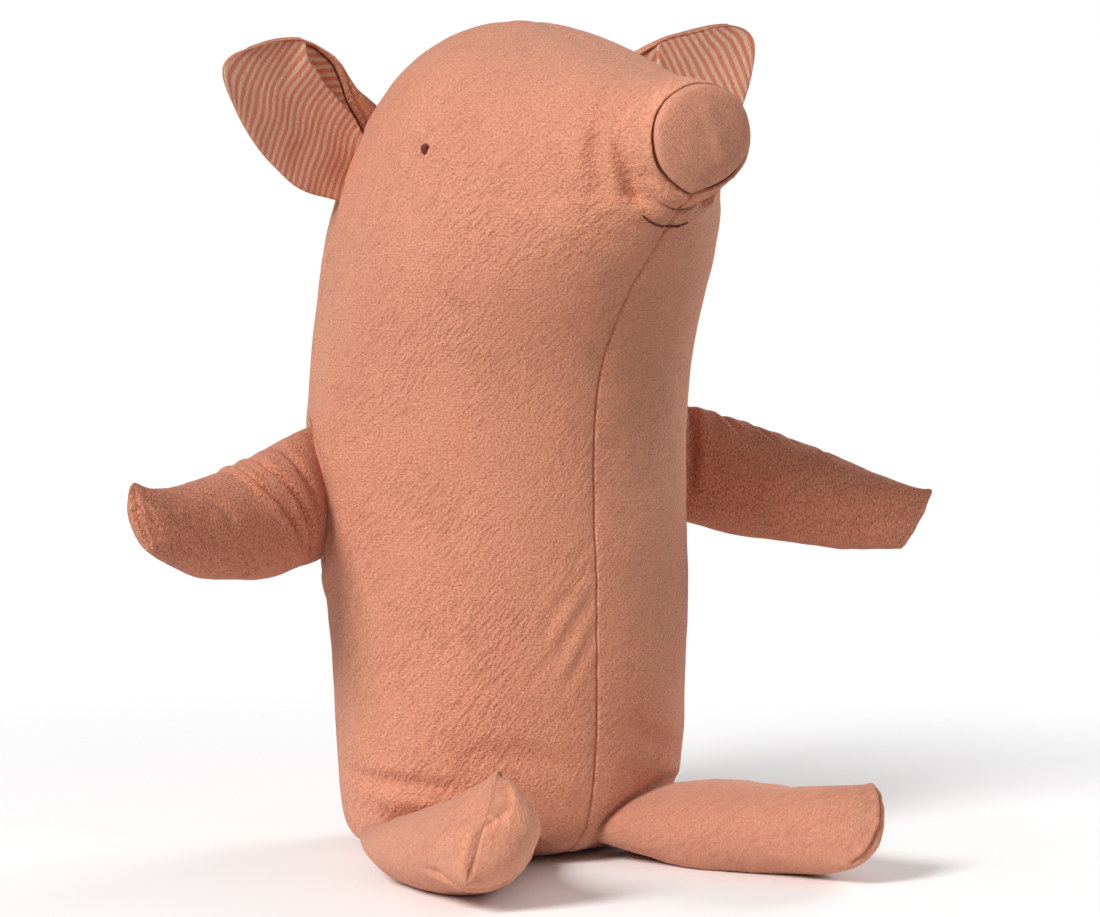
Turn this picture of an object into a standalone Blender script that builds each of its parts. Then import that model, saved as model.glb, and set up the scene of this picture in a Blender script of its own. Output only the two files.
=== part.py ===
"""A seated pig, sewn from linen and stuffed, as solid blocks of its sewn pieces.

The toy faces -Y, its own left is +X, and it sits on the plane z = 0. Lengths are in metres.
Run with: blender --background --python part.py
"""

import math

import bmesh
import bpy
from mathutils import Matrix, Vector

# --- Driving dimensions -----------------------------------------------------------------------------------

GAP = 0.0003  # left between neighbouring pieces
FLOOR_PRESS = 0.0015  # how far the soft undersides are pressed flat by the floor
AROUND = 12  # cage points round the bag
LIMB_AROUND = 8

NECK_TURN = math.radians(22)  # lean of the cut that parts the head from the trunk
NECK_CUT = (0.0, 0.2235)  # (forward, up) of a point on that cut

SNOUT_RADIUS = 0.0235
SNOUT_CENTRE = (0.1700, 0.3235)  # (forward, up) of the middle of the snout's end
SNOUT_NOD = math.radians(17)  # how far the snout's end faces down
SNOUT_PAD = 0.0030  # depth of the disc at its rim
SNOUT_DOME = 0.0035  # how far its middle stands proud

# The bag of head and trunk as rings. Each ring runs from a front to a back point (forward, up),
# and bulges to half its width at both sides.
BAG = {
    "seat": ((0.0320, 0.0), (-0.0380, 0.0), 0.0400),
    "hem": ((0.0610, 0.0030), (-0.0632, 0.0), 0.0700),
    "hip": ((0.0785, 0.0160), (-0.0739, 0.0110), 0.0798),
    "thigh": ((0.0854, 0.0419), (-0.0764, 0.0395), 0.0828),
    "belly": ((0.0866, 0.0953), (-0.0777, 0.0949), 0.0846),
    "waist": ((0.0846, 0.1508), (-0.0882, 0.1545), 0.0881),
    "chest": ((0.0814, 0.1994), (-0.0977, 0.2128), 0.0894),
    "neck": ((0.0914, 0.2315), (-0.0916, 0.2663), 0.0893),
    "nape": ((0.1097, 0.2590), (-0.0754, 0.3219), 0.0864),
    "brow": ((0.1265, 0.2762), (-0.0467, 0.3681), 0.0762),
    "crown": ((0.1353, 0.2853), (0.0055, 0.3907), 0.0640),
    "bridge": ((0.1415, 0.2887), (0.0798, 0.3714), 0.0450),
    "muzzle": ((0.1490, 0.2925), (0.1296, 0.3549), 0.0342),
}

ARM_ROOT = (0.0846, 0.0250)  # (sideways, back) of the middle of the seam that joins an arm to the trunk
ARM_SIDES = {  # side: (root height, swing forward from straight sideways, droop, lift of the tip)
    "right": (0.1655, math.radians(33), math.radians(10), 0.0240),
    "left": (0.1790, math.radians(27), math.radians(13), 0.0),
}
ARM_SLANT = 0.25  # lean of the sewn end, its upper corner further out
ARM = {  # (along, half height, half thickness)
    "root": (-0.022, 0.0300, 0.0100),
    "joint": (0.004, 0.0320, 0.0125),
    "upper": (0.030, 0.0290, 0.0195),
    "fore": (0.062, 0.0262, 0.0205),
    "wrist": (0.095, 0.0220, 0.0165),
    "paw": (0.127, 0.0180, 0.0095),
    "seam": (0.144, 0.0160, 0.0016),
}

LEG_SIDES = {
    # side: root's middle (sideways, back, up), swing forward from sideways, twist and half height of the end,
    # lift of the toe
    "right": ((0.0580, -0.0400, 0.0170), math.radians(69), math.radians(19), 0.0235, 0.0205),
    "left": ((0.0480, -0.0480, 0.0160), math.radians(76), math.radians(-30), 0.0185, 0.0085),
}
LEG_SLANT = 0.05
LEG = {  # (along, half height, half thickness)
    "root": (-0.012, 0.0100, 0.0420),
    "hip": (0.020, 0.0165, 0.0425),
    "thigh": (0.048, 0.0212, 0.0385),
    "knee": (0.073, 0.0208, 0.0330),
    "shin": (0.096, 0.0195, 0.0265),
    "foot": (0.118, 0.0210, 0.0160),
    "seam": (0.132, None, 0.0018),
}

EAR_THICKNESS = 0.0045
EAR_SWEEP = math.radians(12.6)  # forward from straight sideways
EAR_SIDES = {  # side: (sideways, back and up of the root's middle, lift of the tip)
    "right": (0.0669, 0.0169, 0.3220, math.radians(24)),
    "left": (0.0725, 0.0160, 0.3285, math.radians(37)),
}
EAR = {  # (along, reach of the lower edge, reach of the upper edge, depth of the pleat)
    "root": (-0.004, 0.0245, 0.0215, 0.0090),
    "base": (0.016, 0.0295, 0.0265, 0.0080),
    "middle": (0.033, 0.0300, 0.0325, 0.0050),
    "blade": (0.050, 0.0245, 0.0325, 0.0020),
    "shoulder": (0.065, 0.0160, 0.0240, 0.0),
    "tip": (0.076, 0.0065, 0.0115, 0.0),
}

EYE_RADIUS = 0.0023
EYE = (0.0727, 0.0564, 0.3214)  # (sideways, forward, up)
MOUTH_HALF = 0.0125  # half the length of the sewn smile
MOUTH_RADIUS = 0.0011

TAIL_RADIUS = 0.0042
TAIL_COIL = 0.0100
TAIL_PITCH = 0.0110
TAIL_ROOT = (0.0770, 0.0620)  # (back, up)

LINEN = (0.62, 0.29, 0.19)
STRIPE = (0.52, 0.26, 0.18)
THREAD = (0.09, 0.025, 0.018)


# --- Blender helpers --------------------------------------------------------------------------------------


def clear_scene():
    for old in list(bpy.data.objects):
        bpy.data.objects.remove(old)


def new_collection(name):
    made = bpy.data.collections.new(name)
    bpy.context.scene.collection.children.link(made)
    return made


def new_material(name, colour, roughness):
    made = bpy.data.materials.new(name)
    made.use_nodes = True
    shader = made.node_tree.nodes["Principled BSDF"]
    shader.inputs["Base Color"].default_value = (*colour, 1.0)
    shader.inputs["Roughness"].default_value = roughness
    shader.inputs["Metallic"].default_value = 0.0
    return made


def object_from(mesh_maker, name, collection, material=None):
    """An object whose mesh is what mesh_maker(bm) adds to an empty bmesh, with its faces pointing out."""
    bm = bmesh.new()
    mesh_maker(bm)
    bmesh.ops.recalc_face_normals(bm, faces=bm.faces)
    mesh = bpy.data.meshes.new(name)
    bm.to_mesh(mesh)
    bm.free()
    mesh.shade_smooth()
    made = bpy.data.objects.new(name, mesh)
    collection.objects.link(made)
    if material:
        mesh.materials.append(material)
    return made


def subdivide(piece, levels):
    smooth = piece.modifiers.new("Round", "SUBSURF")
    smooth.levels = levels
    smooth.render_levels = levels


def boolean(piece, cutter, operation="DIFFERENCE"):
    cut = piece.modifiers.new(operation.title() + " " + cutter.name, "BOOLEAN")
    cut.operation = operation
    cut.solver = "EXACT"
    cut.object = cutter


def as_cutter(piece):
    piece.hide_render = True
    piece.display_type = "WIRE"
    return piece


def cage_scale(count):
    """A closed smooth curve through a ring of count points lies inside it by this share."""
    return 3 / (2 + math.cos(2 * math.pi / count))


def loft(bm, rings):
    """Quads between neighbouring rings of vertices, and a face on each end."""
    for low, high in zip(rings, rings[1:]):
        count = len(low)
        for i in range(count):
            j = (i + 1) % count
            bm.faces.new((low[i], low[j], high[j], high[i]))
    bm.faces.new(rings[0])
    bm.faces.new(rings[-1])


# --- Head and trunk ---------------------------------------------------------------------------------------


def forward_up(forward, up, sideways=0.0):
    return Vector((sideways, -forward, up))


def snout_plane(set_back=0.0):
    """Origin and outward normal of the snout's end, or of a plane that lies set_back behind it."""
    normal = forward_up(math.cos(SNOUT_NOD), -math.sin(SNOUT_NOD))
    return forward_up(*SNOUT_CENTRE) - normal * set_back, normal


def bag_ring(bm, front, back, half_width):
    middle = (front + back) / 2
    reach = (front - back) / 2
    grow = cage_scale(AROUND)
    ring = []
    for i in range(AROUND):
        turn = 2 * math.pi * i / AROUND
        spot = middle + reach * math.cos(turn) * grow
        ring.append(bm.verts.new(spot + Vector((half_width * math.sin(turn) * grow, 0, 0))))
    return ring


def make_bag(bm):
    rings = [
        bag_ring(bm, forward_up(*front), forward_up(*back), half_width)
        for front, back, half_width in BAG.values()
    ]
    for set_back in (0.012, 0.0, -0.008):
        centre, normal = snout_plane(SNOUT_PAD + set_back)
        up = normal.cross(Vector((1, 0, 0))).normalized()
        if up.z < 0:
            up.negate()
        radius = SNOUT_RADIUS + 0.04 * set_back
        rings.append(bag_ring(bm, centre - up * radius, centre + up * radius, radius))
    for ring in rings[:2]:
        for vertex in ring:
            vertex.co.z -= FLOOR_PRESS
    loft(bm, rings)


def slab(name, centre, normal, depth, collection, side=0.6):
    """A thick square plate whose face lies at centre and whose body lies along normal."""

    def make(bm):
        bmesh.ops.create_cube(bm, size=1.0)
        bmesh.ops.scale(bm, vec=(side, side, depth), verts=bm.verts)
        bmesh.ops.translate(bm, vec=(0, 0, depth / 2), verts=bm.verts)

    plate = object_from(make, name, collection)
    plate.location = centre
    plate.rotation_mode = "QUATERNION"
    plate.rotation_quaternion = normal.to_track_quat("Z", "Y")
    return as_cutter(plate)


def make_snout_disc(bm):
    """A shallow dome on a short cylinder, its rim's face at z = 0 and its dome towards +Z."""
    segments = 20
    profile = [(SNOUT_RADIUS, -SNOUT_PAD), (SNOUT_RADIUS + 0.0004, -0.5 * SNOUT_PAD), (SNOUT_RADIUS, -0.0006)]
    for share in (0.93, 0.75, 0.5, 0.25):
        profile.append((SNOUT_RADIUS * share, SNOUT_DOME * (1 - share**2.4)))
    rings = []
    for radius, height in profile:
        rings.append(
            [
                bm.verts.new(
                    (
                        radius * math.cos(2 * math.pi * i / segments),
                        radius * math.sin(2 * math.pi * i / segments),
                        height,
                    )
                )
                for i in range(segments)
            ]
        )
    loft(bm, rings)


# --- Limbs ------------------------------------------------------------------------------------------------


def limb_maker(stations, side, slant, twist, tip_lift):
    """Makes a tapered tube along side * X, whose end is a flat upright seam, turned by twist."""
    length = stations["seam"][0]

    def make(bm):
        grow = cage_scale(LIMB_AROUND)
        rings = []
        for along, half_height, half_thickness in stations.values():
            share = max(0.0, along / length)
            turned = Matrix.Rotation(twist * share**2, 3, "X")
            ring = []
            for i in range(LIMB_AROUND):
                turn = 2 * math.pi * i / LIMB_AROUND
                up = half_height * math.cos(turn) * grow
                spot = turned @ Vector((0, half_thickness * math.sin(turn) * grow, up))
                spot += Vector((side * (along + slant * up * share**3), 0, tip_lift * share**3))
                ring.append(bm.verts.new(spot))
            rings.append(ring)
        loft(bm, rings)
        crease = bm.edges.layers.float.new("crease_edge")
        for edge in bm.edges:
            if all(vertex in rings[-1] for vertex in edge.verts):
                edge[crease] = 0.9

    return make


def place(piece, side, root, swing, droop):
    sideways, back, up = root
    piece.location = (side * sideways, back, up)
    piece.rotation_euler = (0, side * droop, -side * swing)


# --- Ears -------------------------------------------------------------------------------------------------


def ear_maker(side):
    """A cupped leaf along side * X: its lower edge at -Z, its upper edge at +Z, its lining facing -Y."""
    across = (-1.0, -0.6, -0.1, 0.4, 0.72, 1.0)
    fold = (0.0, 0.15, 0.0, -0.1, 1.0, -0.35)

    def make(bm):
        rows = []
        for along, lower, upper, depth in EAR.values():
            row = []
            for share, bend in zip(across, fold):
                reach = lower if share < 0 else upper
                bow = 0.0035 * (1 - share**2)
                round_end = 0.010 * (1 - share**2) * (along / EAR["tip"][0]) ** 3
                row.append(
                    bm.verts.new(
                        (side * (along + round_end), bow + depth * bend, share * reach)
                    )
                )
            rows.append(row)
        for low, high in zip(rows, rows[1:]):
            for i in range(len(low) - 1):
                bm.faces.new((low[i], low[i + 1], high[i + 1], high[i]))

    return make


def make_ear(side_name, side, collection, material):
    ear = object_from(ear_maker(side), "ear_" + side_name, collection, material)
    wall = ear.modifiers.new("Two layers", "SOLIDIFY")
    wall.thickness = EAR_THICKNESS
    wall.offset = 0.0
    subdivide(ear, 1)
    return ear


# --- Face stitches and tail -------------------------------------------------------------------------------


def make_knot(bm):
    bmesh.ops.create_icosphere(bm, subdivisions=2, radius=EYE_RADIUS)


def tube_object(name, points, radius, collection, material):
    """A closed round tube along points, as a mesh."""
    curve = bpy.data.curves.new(name + "_line", "CURVE")
    curve.dimensions = "3D"
    curve.bevel_depth = radius
    curve.bevel_resolution = 2
    curve.use_fill_caps = True
    spline = curve.splines.new("POLY")
    spline.points.add(len(points) - 1)
    for spot, point in zip(spline.points, points):
        spot.co = (*point, 1.0)
    line = bpy.data.objects.new(name + "_line", curve)
    collection.objects.link(line)
    bpy.context.view_layer.update()
    graph = bpy.context.evaluated_depsgraph_get()
    mesh = bpy.data.meshes.new_from_object(line.evaluated_get(graph))
    bpy.data.objects.remove(line)
    bm = bmesh.new()
    bm.from_mesh(mesh)
    bmesh.ops.remove_doubles(bm, verts=bm.verts, dist=radius / 50)
    bmesh.ops.recalc_face_normals(bm, faces=bm.faces)
    bm.to_mesh(mesh)
    bm.free()
    mesh.shade_smooth()
    tube = bpy.data.objects.new(name, mesh)
    mesh.materials.clear()
    mesh.materials.append(material)
    collection.objects.link(tube)
    return tube


def mouth_points():
    """A shallow smile that follows the fold under the snout."""
    points = []
    count = 12
    for i in range(count + 1):
        share = 2 * i / count - 1
        sideways = MOUTH_HALF * share
        points.append(forward_up(0.1386 + 0.0032 * share**2, 0.2864 + 0.0042 * share**2, sideways))
    return points


def tail_points():
    """A curl of one and a quarter turns that winds straight back from the trunk."""
    back, up = TAIL_ROOT
    turns, count = 1.25, 15
    points = [Vector((0, back - 0.004, up))]
    for i in range(count + 1):
        turn = 2 * math.pi * turns * i / count
        widen = min(1.0, 2 * i / count)
        points.append(
            Vector(
                (
                    TAIL_COIL * widen * math.sin(turn),
                    back + 0.005 + TAIL_PITCH * turn / (2 * math.pi),
                    up + TAIL_COIL * widen * (1 - math.cos(turn)) / 1.4,
                )
            )
        )
    return points


# --- The whole toy ----------------------------------------------------------------------------------------


def main():
    clear_scene()
    toy = new_collection("Pig")
    cutters = new_collection("Cutters")
    linen = new_material("linen", LINEN, 0.95)
    lining = new_material("striped_lining", STRIPE, 0.95)
    thread = new_material("dark_thread", THREAD, 0.7)

    floor = slab("floor", Vector((0, 0, 0)), Vector((0, 0, -1)), 0.05, cutters)
    neck_normal = forward_up(math.sin(NECK_TURN), -math.cos(NECK_TURN))
    neck = forward_up(*NECK_CUT)
    below_neck = slab("below_neck", neck, neck_normal, 0.5, cutters, side=1.2)
    above_neck = slab("above_neck", neck + neck_normal * GAP, -neck_normal, 0.5, cutters, side=1.2)
    snout_end, snout_normal = snout_plane(SNOUT_PAD + GAP)
    before_snout = slab("before_snout", snout_end, snout_normal, 0.05, cutters, side=0.2)

    bag_cutter = as_cutter(object_from(make_bag, "bag", cutters))
    subdivide(bag_cutter, 2)
    grown = bag_cutter.modifiers.new("Grow", "DISPLACE")
    grown.strength = GAP
    grown.mid_level = 0.0

    trunk = object_from(make_bag, "trunk", toy, linen)
    subdivide(trunk, 2)
    boolean(trunk, above_neck)
    boolean(trunk, floor)
    head = object_from(make_bag, "head", toy, linen)
    subdivide(head, 2)
    boolean(head, below_neck)
    boolean(head, before_snout)

    disc = object_from(make_snout_disc, "snout_disc", toy, linen)
    disc.location, normal = snout_plane()
    disc.rotation_mode = "QUATERNION"
    disc.rotation_quaternion = normal.to_track_quat("Z", "Y")

    for side_name, side in (("right", -1), ("left", 1)):
        height, swing, droop, lift = ARM_SIDES[side_name]
        arm = object_from(limb_maker(ARM, side, ARM_SLANT, 0.0, lift), "arm_" + side_name, toy, linen)
        subdivide(arm, 1)
        place(arm, side, (*ARM_ROOT, height), swing, droop)
        boolean(arm, bag_cutter)

        root, swing, twist, end, lift = LEG_SIDES[side_name]
        stations = {**LEG, "seam": (LEG["seam"][0], end, LEG["seam"][2])}
        leg = object_from(limb_maker(stations, side, LEG_SLANT, twist, lift), "leg_" + side_name, toy, linen)
        subdivide(leg, 1)
        place(leg, side, root, swing, 0.0)
        boolean(leg, bag_cutter)
        boolean(leg, floor)

        *root, lift = EAR_SIDES[side_name]
        ear = make_ear(side_name, side, toy, lining)
        place(ear, side, root, EAR_SWEEP, -lift)
        boolean(ear, bag_cutter)

        sideways, forward, up = EYE
        eye = object_from(make_knot, "eye_" + side_name, toy, thread)
        eye.location = forward_up(forward, up, side * sideways)
        boolean(eye, bag_cutter)

    mouth = tube_object("mouth_stitch", mouth_points(), MOUTH_RADIUS, toy, thread)
    boolean(mouth, bag_cutter)
    tail = tube_object("tail", tail_points(), TAIL_RADIUS, toy, linen)
    boolean(tail, bag_cutter)


main()
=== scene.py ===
import math

import bpy
import numpy as np
from mathutils import Matrix, Vector, kdtree, noise
from mathutils.bvhtree import BVHTree


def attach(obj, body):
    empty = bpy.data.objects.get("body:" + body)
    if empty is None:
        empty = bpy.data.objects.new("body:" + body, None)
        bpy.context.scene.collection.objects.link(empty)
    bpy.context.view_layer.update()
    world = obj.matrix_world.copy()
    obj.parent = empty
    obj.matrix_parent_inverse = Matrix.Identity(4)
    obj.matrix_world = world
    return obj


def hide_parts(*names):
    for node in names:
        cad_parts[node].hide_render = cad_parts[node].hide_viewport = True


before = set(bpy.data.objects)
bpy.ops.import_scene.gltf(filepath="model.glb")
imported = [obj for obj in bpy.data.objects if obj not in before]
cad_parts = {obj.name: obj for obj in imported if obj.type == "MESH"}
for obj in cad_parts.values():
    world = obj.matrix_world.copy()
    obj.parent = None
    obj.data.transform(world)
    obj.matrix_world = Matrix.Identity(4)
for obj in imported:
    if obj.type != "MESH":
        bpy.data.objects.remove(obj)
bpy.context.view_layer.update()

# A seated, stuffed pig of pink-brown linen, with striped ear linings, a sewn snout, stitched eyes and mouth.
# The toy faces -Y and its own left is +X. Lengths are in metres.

scene = bpy.context.scene


# small helpers

def onlySelect(piece):
    bpy.ops.object.select_all(action="DESELECT")
    piece.hide_set(False)
    piece.select_set(True)
    bpy.context.view_layer.objects.active = piece


def startEdit(piece, mode="VERT"):
    onlySelect(piece)
    bpy.ops.object.mode_set(mode="EDIT")
    bpy.ops.mesh.select_mode(type=mode)


def endEdit():
    bpy.ops.object.mode_set(mode="OBJECT")


def editWhole(piece, mode="VERT"):
    startEdit(piece, mode)
    bpy.ops.mesh.select_all(action="SELECT")


def editPoints(piece, chosen):
    # starts editing with only the chosen points selected
    startEdit(piece)
    bpy.ops.mesh.select_all(action="DESELECT")
    endEdit()
    piece.data.vertices.foreach_set("select", chosen)
    startEdit(piece)


def finishModifier(piece, modifier):
    onlySelect(piece)
    bpy.ops.object.modifier_apply(modifier=modifier.name)


def smoothOut(piece):
    rounding = piece.modifiers.new("rounding", "SUBSURF")
    rounding.levels = 1
    rounding.render_levels = 1
    rounding.uv_smooth = "PRESERVE_BOUNDARIES"
    finishModifier(piece, rounding)


def readOut(collection, name, width=1, kind=float):
    # one value, or one row of values, for each member of a mesh's collection
    found = np.empty(len(collection) * width, kind)
    collection.foreach_get(name, found)
    return found.reshape(-1, width) if width > 1 else found


def spots(piece):
    return readOut(piece.data.vertices, "co", 3)


def setSpots(piece, places):
    piece.data.vertices.foreach_set("co", places.ravel())
    piece.data.update()


def outward(piece):
    return readOut(piece.data.vertex_normals, "vector", 3)


def push(piece, amounts):
    # moves each point along its own normal
    setSpots(piece, spots(piece) + outward(piece) * amounts[:, None])


floorGap = 0.0003  # the lowest cloth stays this far above the ground


def keepOffFloor(piece):
    places = spots(piece)
    places[:, 2] = np.maximum(places[:, 2], floorGap)
    setSpots(piece, places)


def lumps(places, size, seed):
    shift = Vector((seed * 7.31, seed * 3.17, seed * 5.73))
    return np.array([noise.noise(Vector(place) / size + shift) for place in places])


def awayFrom(places, plane):
    point, normal = plane
    return (places - np.array(point)) @ np.array(normal)


def runLengths(points):
    # the length of each stretch of a run of points, and the way along it to each point
    lengths = np.linalg.norm(np.diff(points, axis=0), axis=1)
    return lengths, np.concatenate([[0], np.cumsum(lengths)])


def nearestOnRun(places, points, normals=None):
    # the distance to a run of points, how far along the run that is, from 0 to 1,
    # and, where normals are given, the side of the run
    points = np.array(points, float)
    lengths, starts = runLengths(points)
    best = np.full(len(places), 1e9)
    share = np.zeros(len(places))
    side = np.zeros(len(places))
    for start, end, length, before in zip(points, points[1:], lengths, starts):
        step = (end - start) / length
        along = np.clip((places - start) @ step, 0, length)
        fromRun = places - start - along[:, None] * step
        away = np.linalg.norm(fromRun, axis=1)
        nearer = away < best
        best[nearer] = away[nearer]
        share[nearer] = (before + along[nearer]) / starts[-1]
        if normals is not None:
            side[nearer] = np.sign(np.einsum("ij,ij->i", np.cross(step, normals), fromRun))[nearer]
    return best, share, side


def pressFold(piece, points, depth, width, ridge):
    # a crease along points: a valley with a soft ridge beside it, fading out at both ends
    away, share = nearestOnRun(spots(piece), points)[:2]
    fade = np.sin(np.pi * np.clip(share, 0, 1)) ** 0.6
    valley = np.exp(-np.clip(away / width, 0, 9) ** 2)
    beside = np.exp(-np.clip((away - 2.1 * width) / width, -9, 9) ** 2)
    push(piece, (-depth * valley + ridge * depth * beside) * fade)


def pressTuck(piece, points, depth, width, rise):
    # a fold with one side over the other: a narrow valley, and a rise on the side that lies on top
    away, share, side = nearestOnRun(spots(piece), points, outward(piece))
    fade = np.sin(np.pi * np.clip(share, 0, 1)) ** 0.5
    signed = away * side
    valley = np.exp(-(away / width) ** 2)
    above = np.exp(-((signed - 1.9 * width) / (1.5 * width)) ** 2)
    below = np.exp(-((signed + 2.2 * width) / (1.2 * width)) ** 2)
    push(piece, (-depth * valley + rise * above + 0.25 * rise * below) * fade)


def mirrored(points):
    return [(-x, y, z) for x, y, z in points]


def copyOfNodes(name, nodeNames, weld):
    copies = [bpy.data.objects.new(name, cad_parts[nodeName].data.copy()) for nodeName in nodeNames]
    bpy.ops.object.select_all(action="DESELECT")
    for copied in copies:
        scene.collection.objects.link(copied)
        copied.select_set(True)
    bpy.context.view_layer.objects.active = copies[0]
    bpy.ops.object.join()
    piece = bpy.context.view_layer.objects.active
    piece.name = name
    piece.data.name = name
    piece.data.materials.clear()
    editWhole(piece)
    bpy.ops.mesh.remove_doubles(threshold=weld)
    endEdit()
    return piece


def remesh(piece, voxel):
    onlySelect(piece)
    piece.data.remesh_voxel_size = voxel
    piece.data.remesh_voxel_adaptivity = 0.0
    piece.data.use_remesh_fix_poles = False
    bpy.ops.object.voxel_remesh()
    for layer in list(piece.data.uv_layers):
        piece.data.uv_layers.remove(layer)


def cutAt(piece, point, normal):
    editWhole(piece)
    bpy.ops.mesh.bisect(plane_co=point, plane_no=normal, threshold=0.00001)
    endEdit()


filling = {"frames": 20, "quality": 5, "mass": 0.3, "bending": 0.3, "heldFrom": 0.02}


def fill(piece, stuffing, held):
    # pressure fills the sewn bag; held points stay where they are sewn
    before = spots(piece)
    group = piece.vertex_groups.new(name="sewn")
    for index in np.nonzero(held > filling["heldFrom"])[0]:
        group.add([int(index)], float(held[index]), "REPLACE")
    cloth = piece.modifiers.new("filling", "CLOTH")
    cloth.settings.quality = filling["quality"]
    cloth.settings.mass = filling["mass"]
    cloth.settings.tension_stiffness = stuffing["stiffness"]
    cloth.settings.compression_stiffness = stuffing["stiffness"]
    cloth.settings.shear_stiffness = stuffing["stiffness"] / 3
    cloth.settings.bending_stiffness = filling["bending"]
    cloth.settings.use_pressure = True
    cloth.settings.uniform_pressure_force = stuffing["pressure"]
    cloth.settings.effector_weights.gravity = 0.0
    cloth.settings.vertex_group_mass = group.name
    cloth.collision_settings.use_collision = False
    cloth.point_cache.frame_start = 1
    cloth.point_cache.frame_end = filling["frames"]
    for step in range(1, filling["frames"] + 1):
        scene.frame_set(step)
    finishModifier(piece, cloth)
    scene.frame_set(1)
    moved = spots(piece) - before
    length = np.linalg.norm(moved, axis=1, keepdims=True)
    moved *= np.minimum(1, stuffing["cap"] / np.maximum(length, 1e-9))
    setSpots(piece, before + moved)
    piece.vertex_groups.clear()


def between(table, x):
    # smooth reading of a table of {x: value}
    xs = list(table)
    ys = list(table.values())
    x = min(max(x, xs[0]), xs[-1])
    for index in range(len(xs) - 1):
        if x <= xs[index + 1]:
            break
    left = max(index - 1, 0)
    right = min(index + 2, len(xs) - 1)
    slopeStart = (ys[index + 1] - ys[left]) / (xs[index + 1] - xs[left])
    slopeEnd = (ys[right] - ys[index]) / (xs[right] - xs[index])
    step = xs[index + 1] - xs[index]
    share = (x - xs[index]) / step
    return (
        (2 * share ** 3 - 3 * share ** 2 + 1) * ys[index]
        + (share ** 3 - 2 * share ** 2 + share) * slopeStart * step
        + (3 * share ** 2 - 2 * share ** 3) * ys[index + 1]
        + (share ** 3 - share ** 2) * slopeEnd * step
    )


# laying cloth flat: each panel's map is in metres, its warp upright on the toy

onPlane = 2e-6  # a point this near to a plane lies on its cut


def clothLayer(piece):
    layers = piece.data.uv_layers
    layer = layers[0] if layers else layers.new(name="clothMap")
    layer.name = "clothMap"
    return layer


def areaOf(corners):
    x, y = corners[:, 0], corners[:, 1]
    return 0.5 * abs(np.dot(x, np.roll(y, -1)) - np.dot(y, np.roll(x, -1)))


def layFlat(piece, planes, upright):
    # planes cut the piece into panels, each unwrapped on its own and turned so that its threads run upright
    for point, normal in planes:
        cutAt(piece, point, normal)
    places = spots(piece)
    onCuts = [np.abs(awayFrom(places, plane)) < onPlane for plane in planes]
    for edge in piece.data.edges:
        first, second = edge.vertices
        edge.use_seam = bool(any(onCut[first] and onCut[second] for onCut in onCuts))
    clothLayer(piece)
    editWhole(piece)
    bpy.ops.uv.unwrap(method="ANGLE_BASED", margin=0.0)
    endEdit()
    mesh = piece.data
    places = spots(piece)
    middles = readOut(mesh.polygons, "center", 3)
    areas = readOut(mesh.polygons, "area")
    starts = readOut(mesh.polygons, "loop_start", kind=int)
    totals = readOut(mesh.polygons, "loop_total", kind=int)
    loopVertex = readOut(mesh.loops, "vertex_index", kind=int)
    flat = readOut(clothLayer(piece).data, "uv", 2)
    key = np.zeros(len(middles), int)
    for number, plane in enumerate(planes):
        key += (awayFrom(middles, plane) > 0).astype(int) << number
    loopFace = np.repeat(np.arange(len(mesh.polygons)), totals)
    for panel in np.unique(key):
        loops = np.nonzero(key[loopFace] == panel)[0]
        uv = flat[loops]
        faces = np.nonzero(key == panel)[0]
        spread = sum(areaOf(flat[starts[face]:starts[face] + totals[face]]) for face in faces)
        scale = math.sqrt(areas[faces].sum() / max(spread, 1e-12))
        height = places[loopVertex[loops]] @ np.array(upright)
        fit = np.linalg.lstsq(np.column_stack([uv, np.ones(len(uv))]), height, rcond=None)[0][:2]
        turn = math.atan2(fit[0], fit[1])
        cosine, sine = math.cos(turn), math.sin(turn)
        uv = (uv - uv.mean(axis=0)) @ np.array([[cosine, sine], [-sine, cosine]]) * scale
        flat[loops] = uv + 0.37 * (panel + 1)  # no two panels show the same part of the cloth
    clothLayer(piece).data.foreach_set("uv", flat.ravel())


def setMap(piece, uvOfVertex):
    # a map from one place on the cloth for each point of the mesh
    loopVertex = readOut(piece.data.loops, "vertex_index", kind=int)
    clothLayer(piece).data.foreach_set("uv", np.asarray(uvOfVertex)[loopVertex].ravel())


# shader groups

def newGroup(name, inputs, outputs):
    group = bpy.data.node_groups.new(name, "ShaderNodeTree")
    for label, kind, value in inputs:
        socket = group.interface.new_socket(name=label, in_out="INPUT", socket_type=kind)
        if value is not None:
            socket.default_value = value
    for label, kind in outputs:
        group.interface.new_socket(name=label, in_out="OUTPUT", socket_type=kind)
    return group, group.nodes.new("NodeGroupInput"), group.nodes.new("NodeGroupOutput")


def feed(tree, node, socket, value):
    target = node.inputs[socket]
    if isinstance(value, bpy.types.NodeSocket):
        tree.links.new(value, target)
    else:
        target.default_value = value


def calc(tree, operation, first, second=0.0, third=None):
    node = tree.nodes.new("ShaderNodeMath")
    node.operation = operation
    feed(tree, node, 0, first)
    feed(tree, node, 1, second)
    if third is not None:
        feed(tree, node, 2, third)
    return node.outputs[0]


def noiseOf(tree, vector, scale, detail, roughness=0.5):
    node = tree.nodes.new("ShaderNodeTexNoise")
    feed(tree, node, "Vector", vector)
    node.inputs["Scale"].default_value = scale
    node.inputs["Detail"].default_value = detail
    node.inputs["Roughness"].default_value = roughness
    return node.outputs["Fac"]


def streaks(tree, vector, size, detail, roughness=0.5):
    # noise whose spots have the lengths of size, across and along the cloth
    node = tree.nodes.new("ShaderNodeMapping")
    feed(tree, node, "Vector", vector)
    node.inputs["Scale"].default_value = (1 / size[0], 1 / size[1], 1)
    return noiseOf(tree, node.outputs[0], 1.0, detail, roughness)


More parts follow.
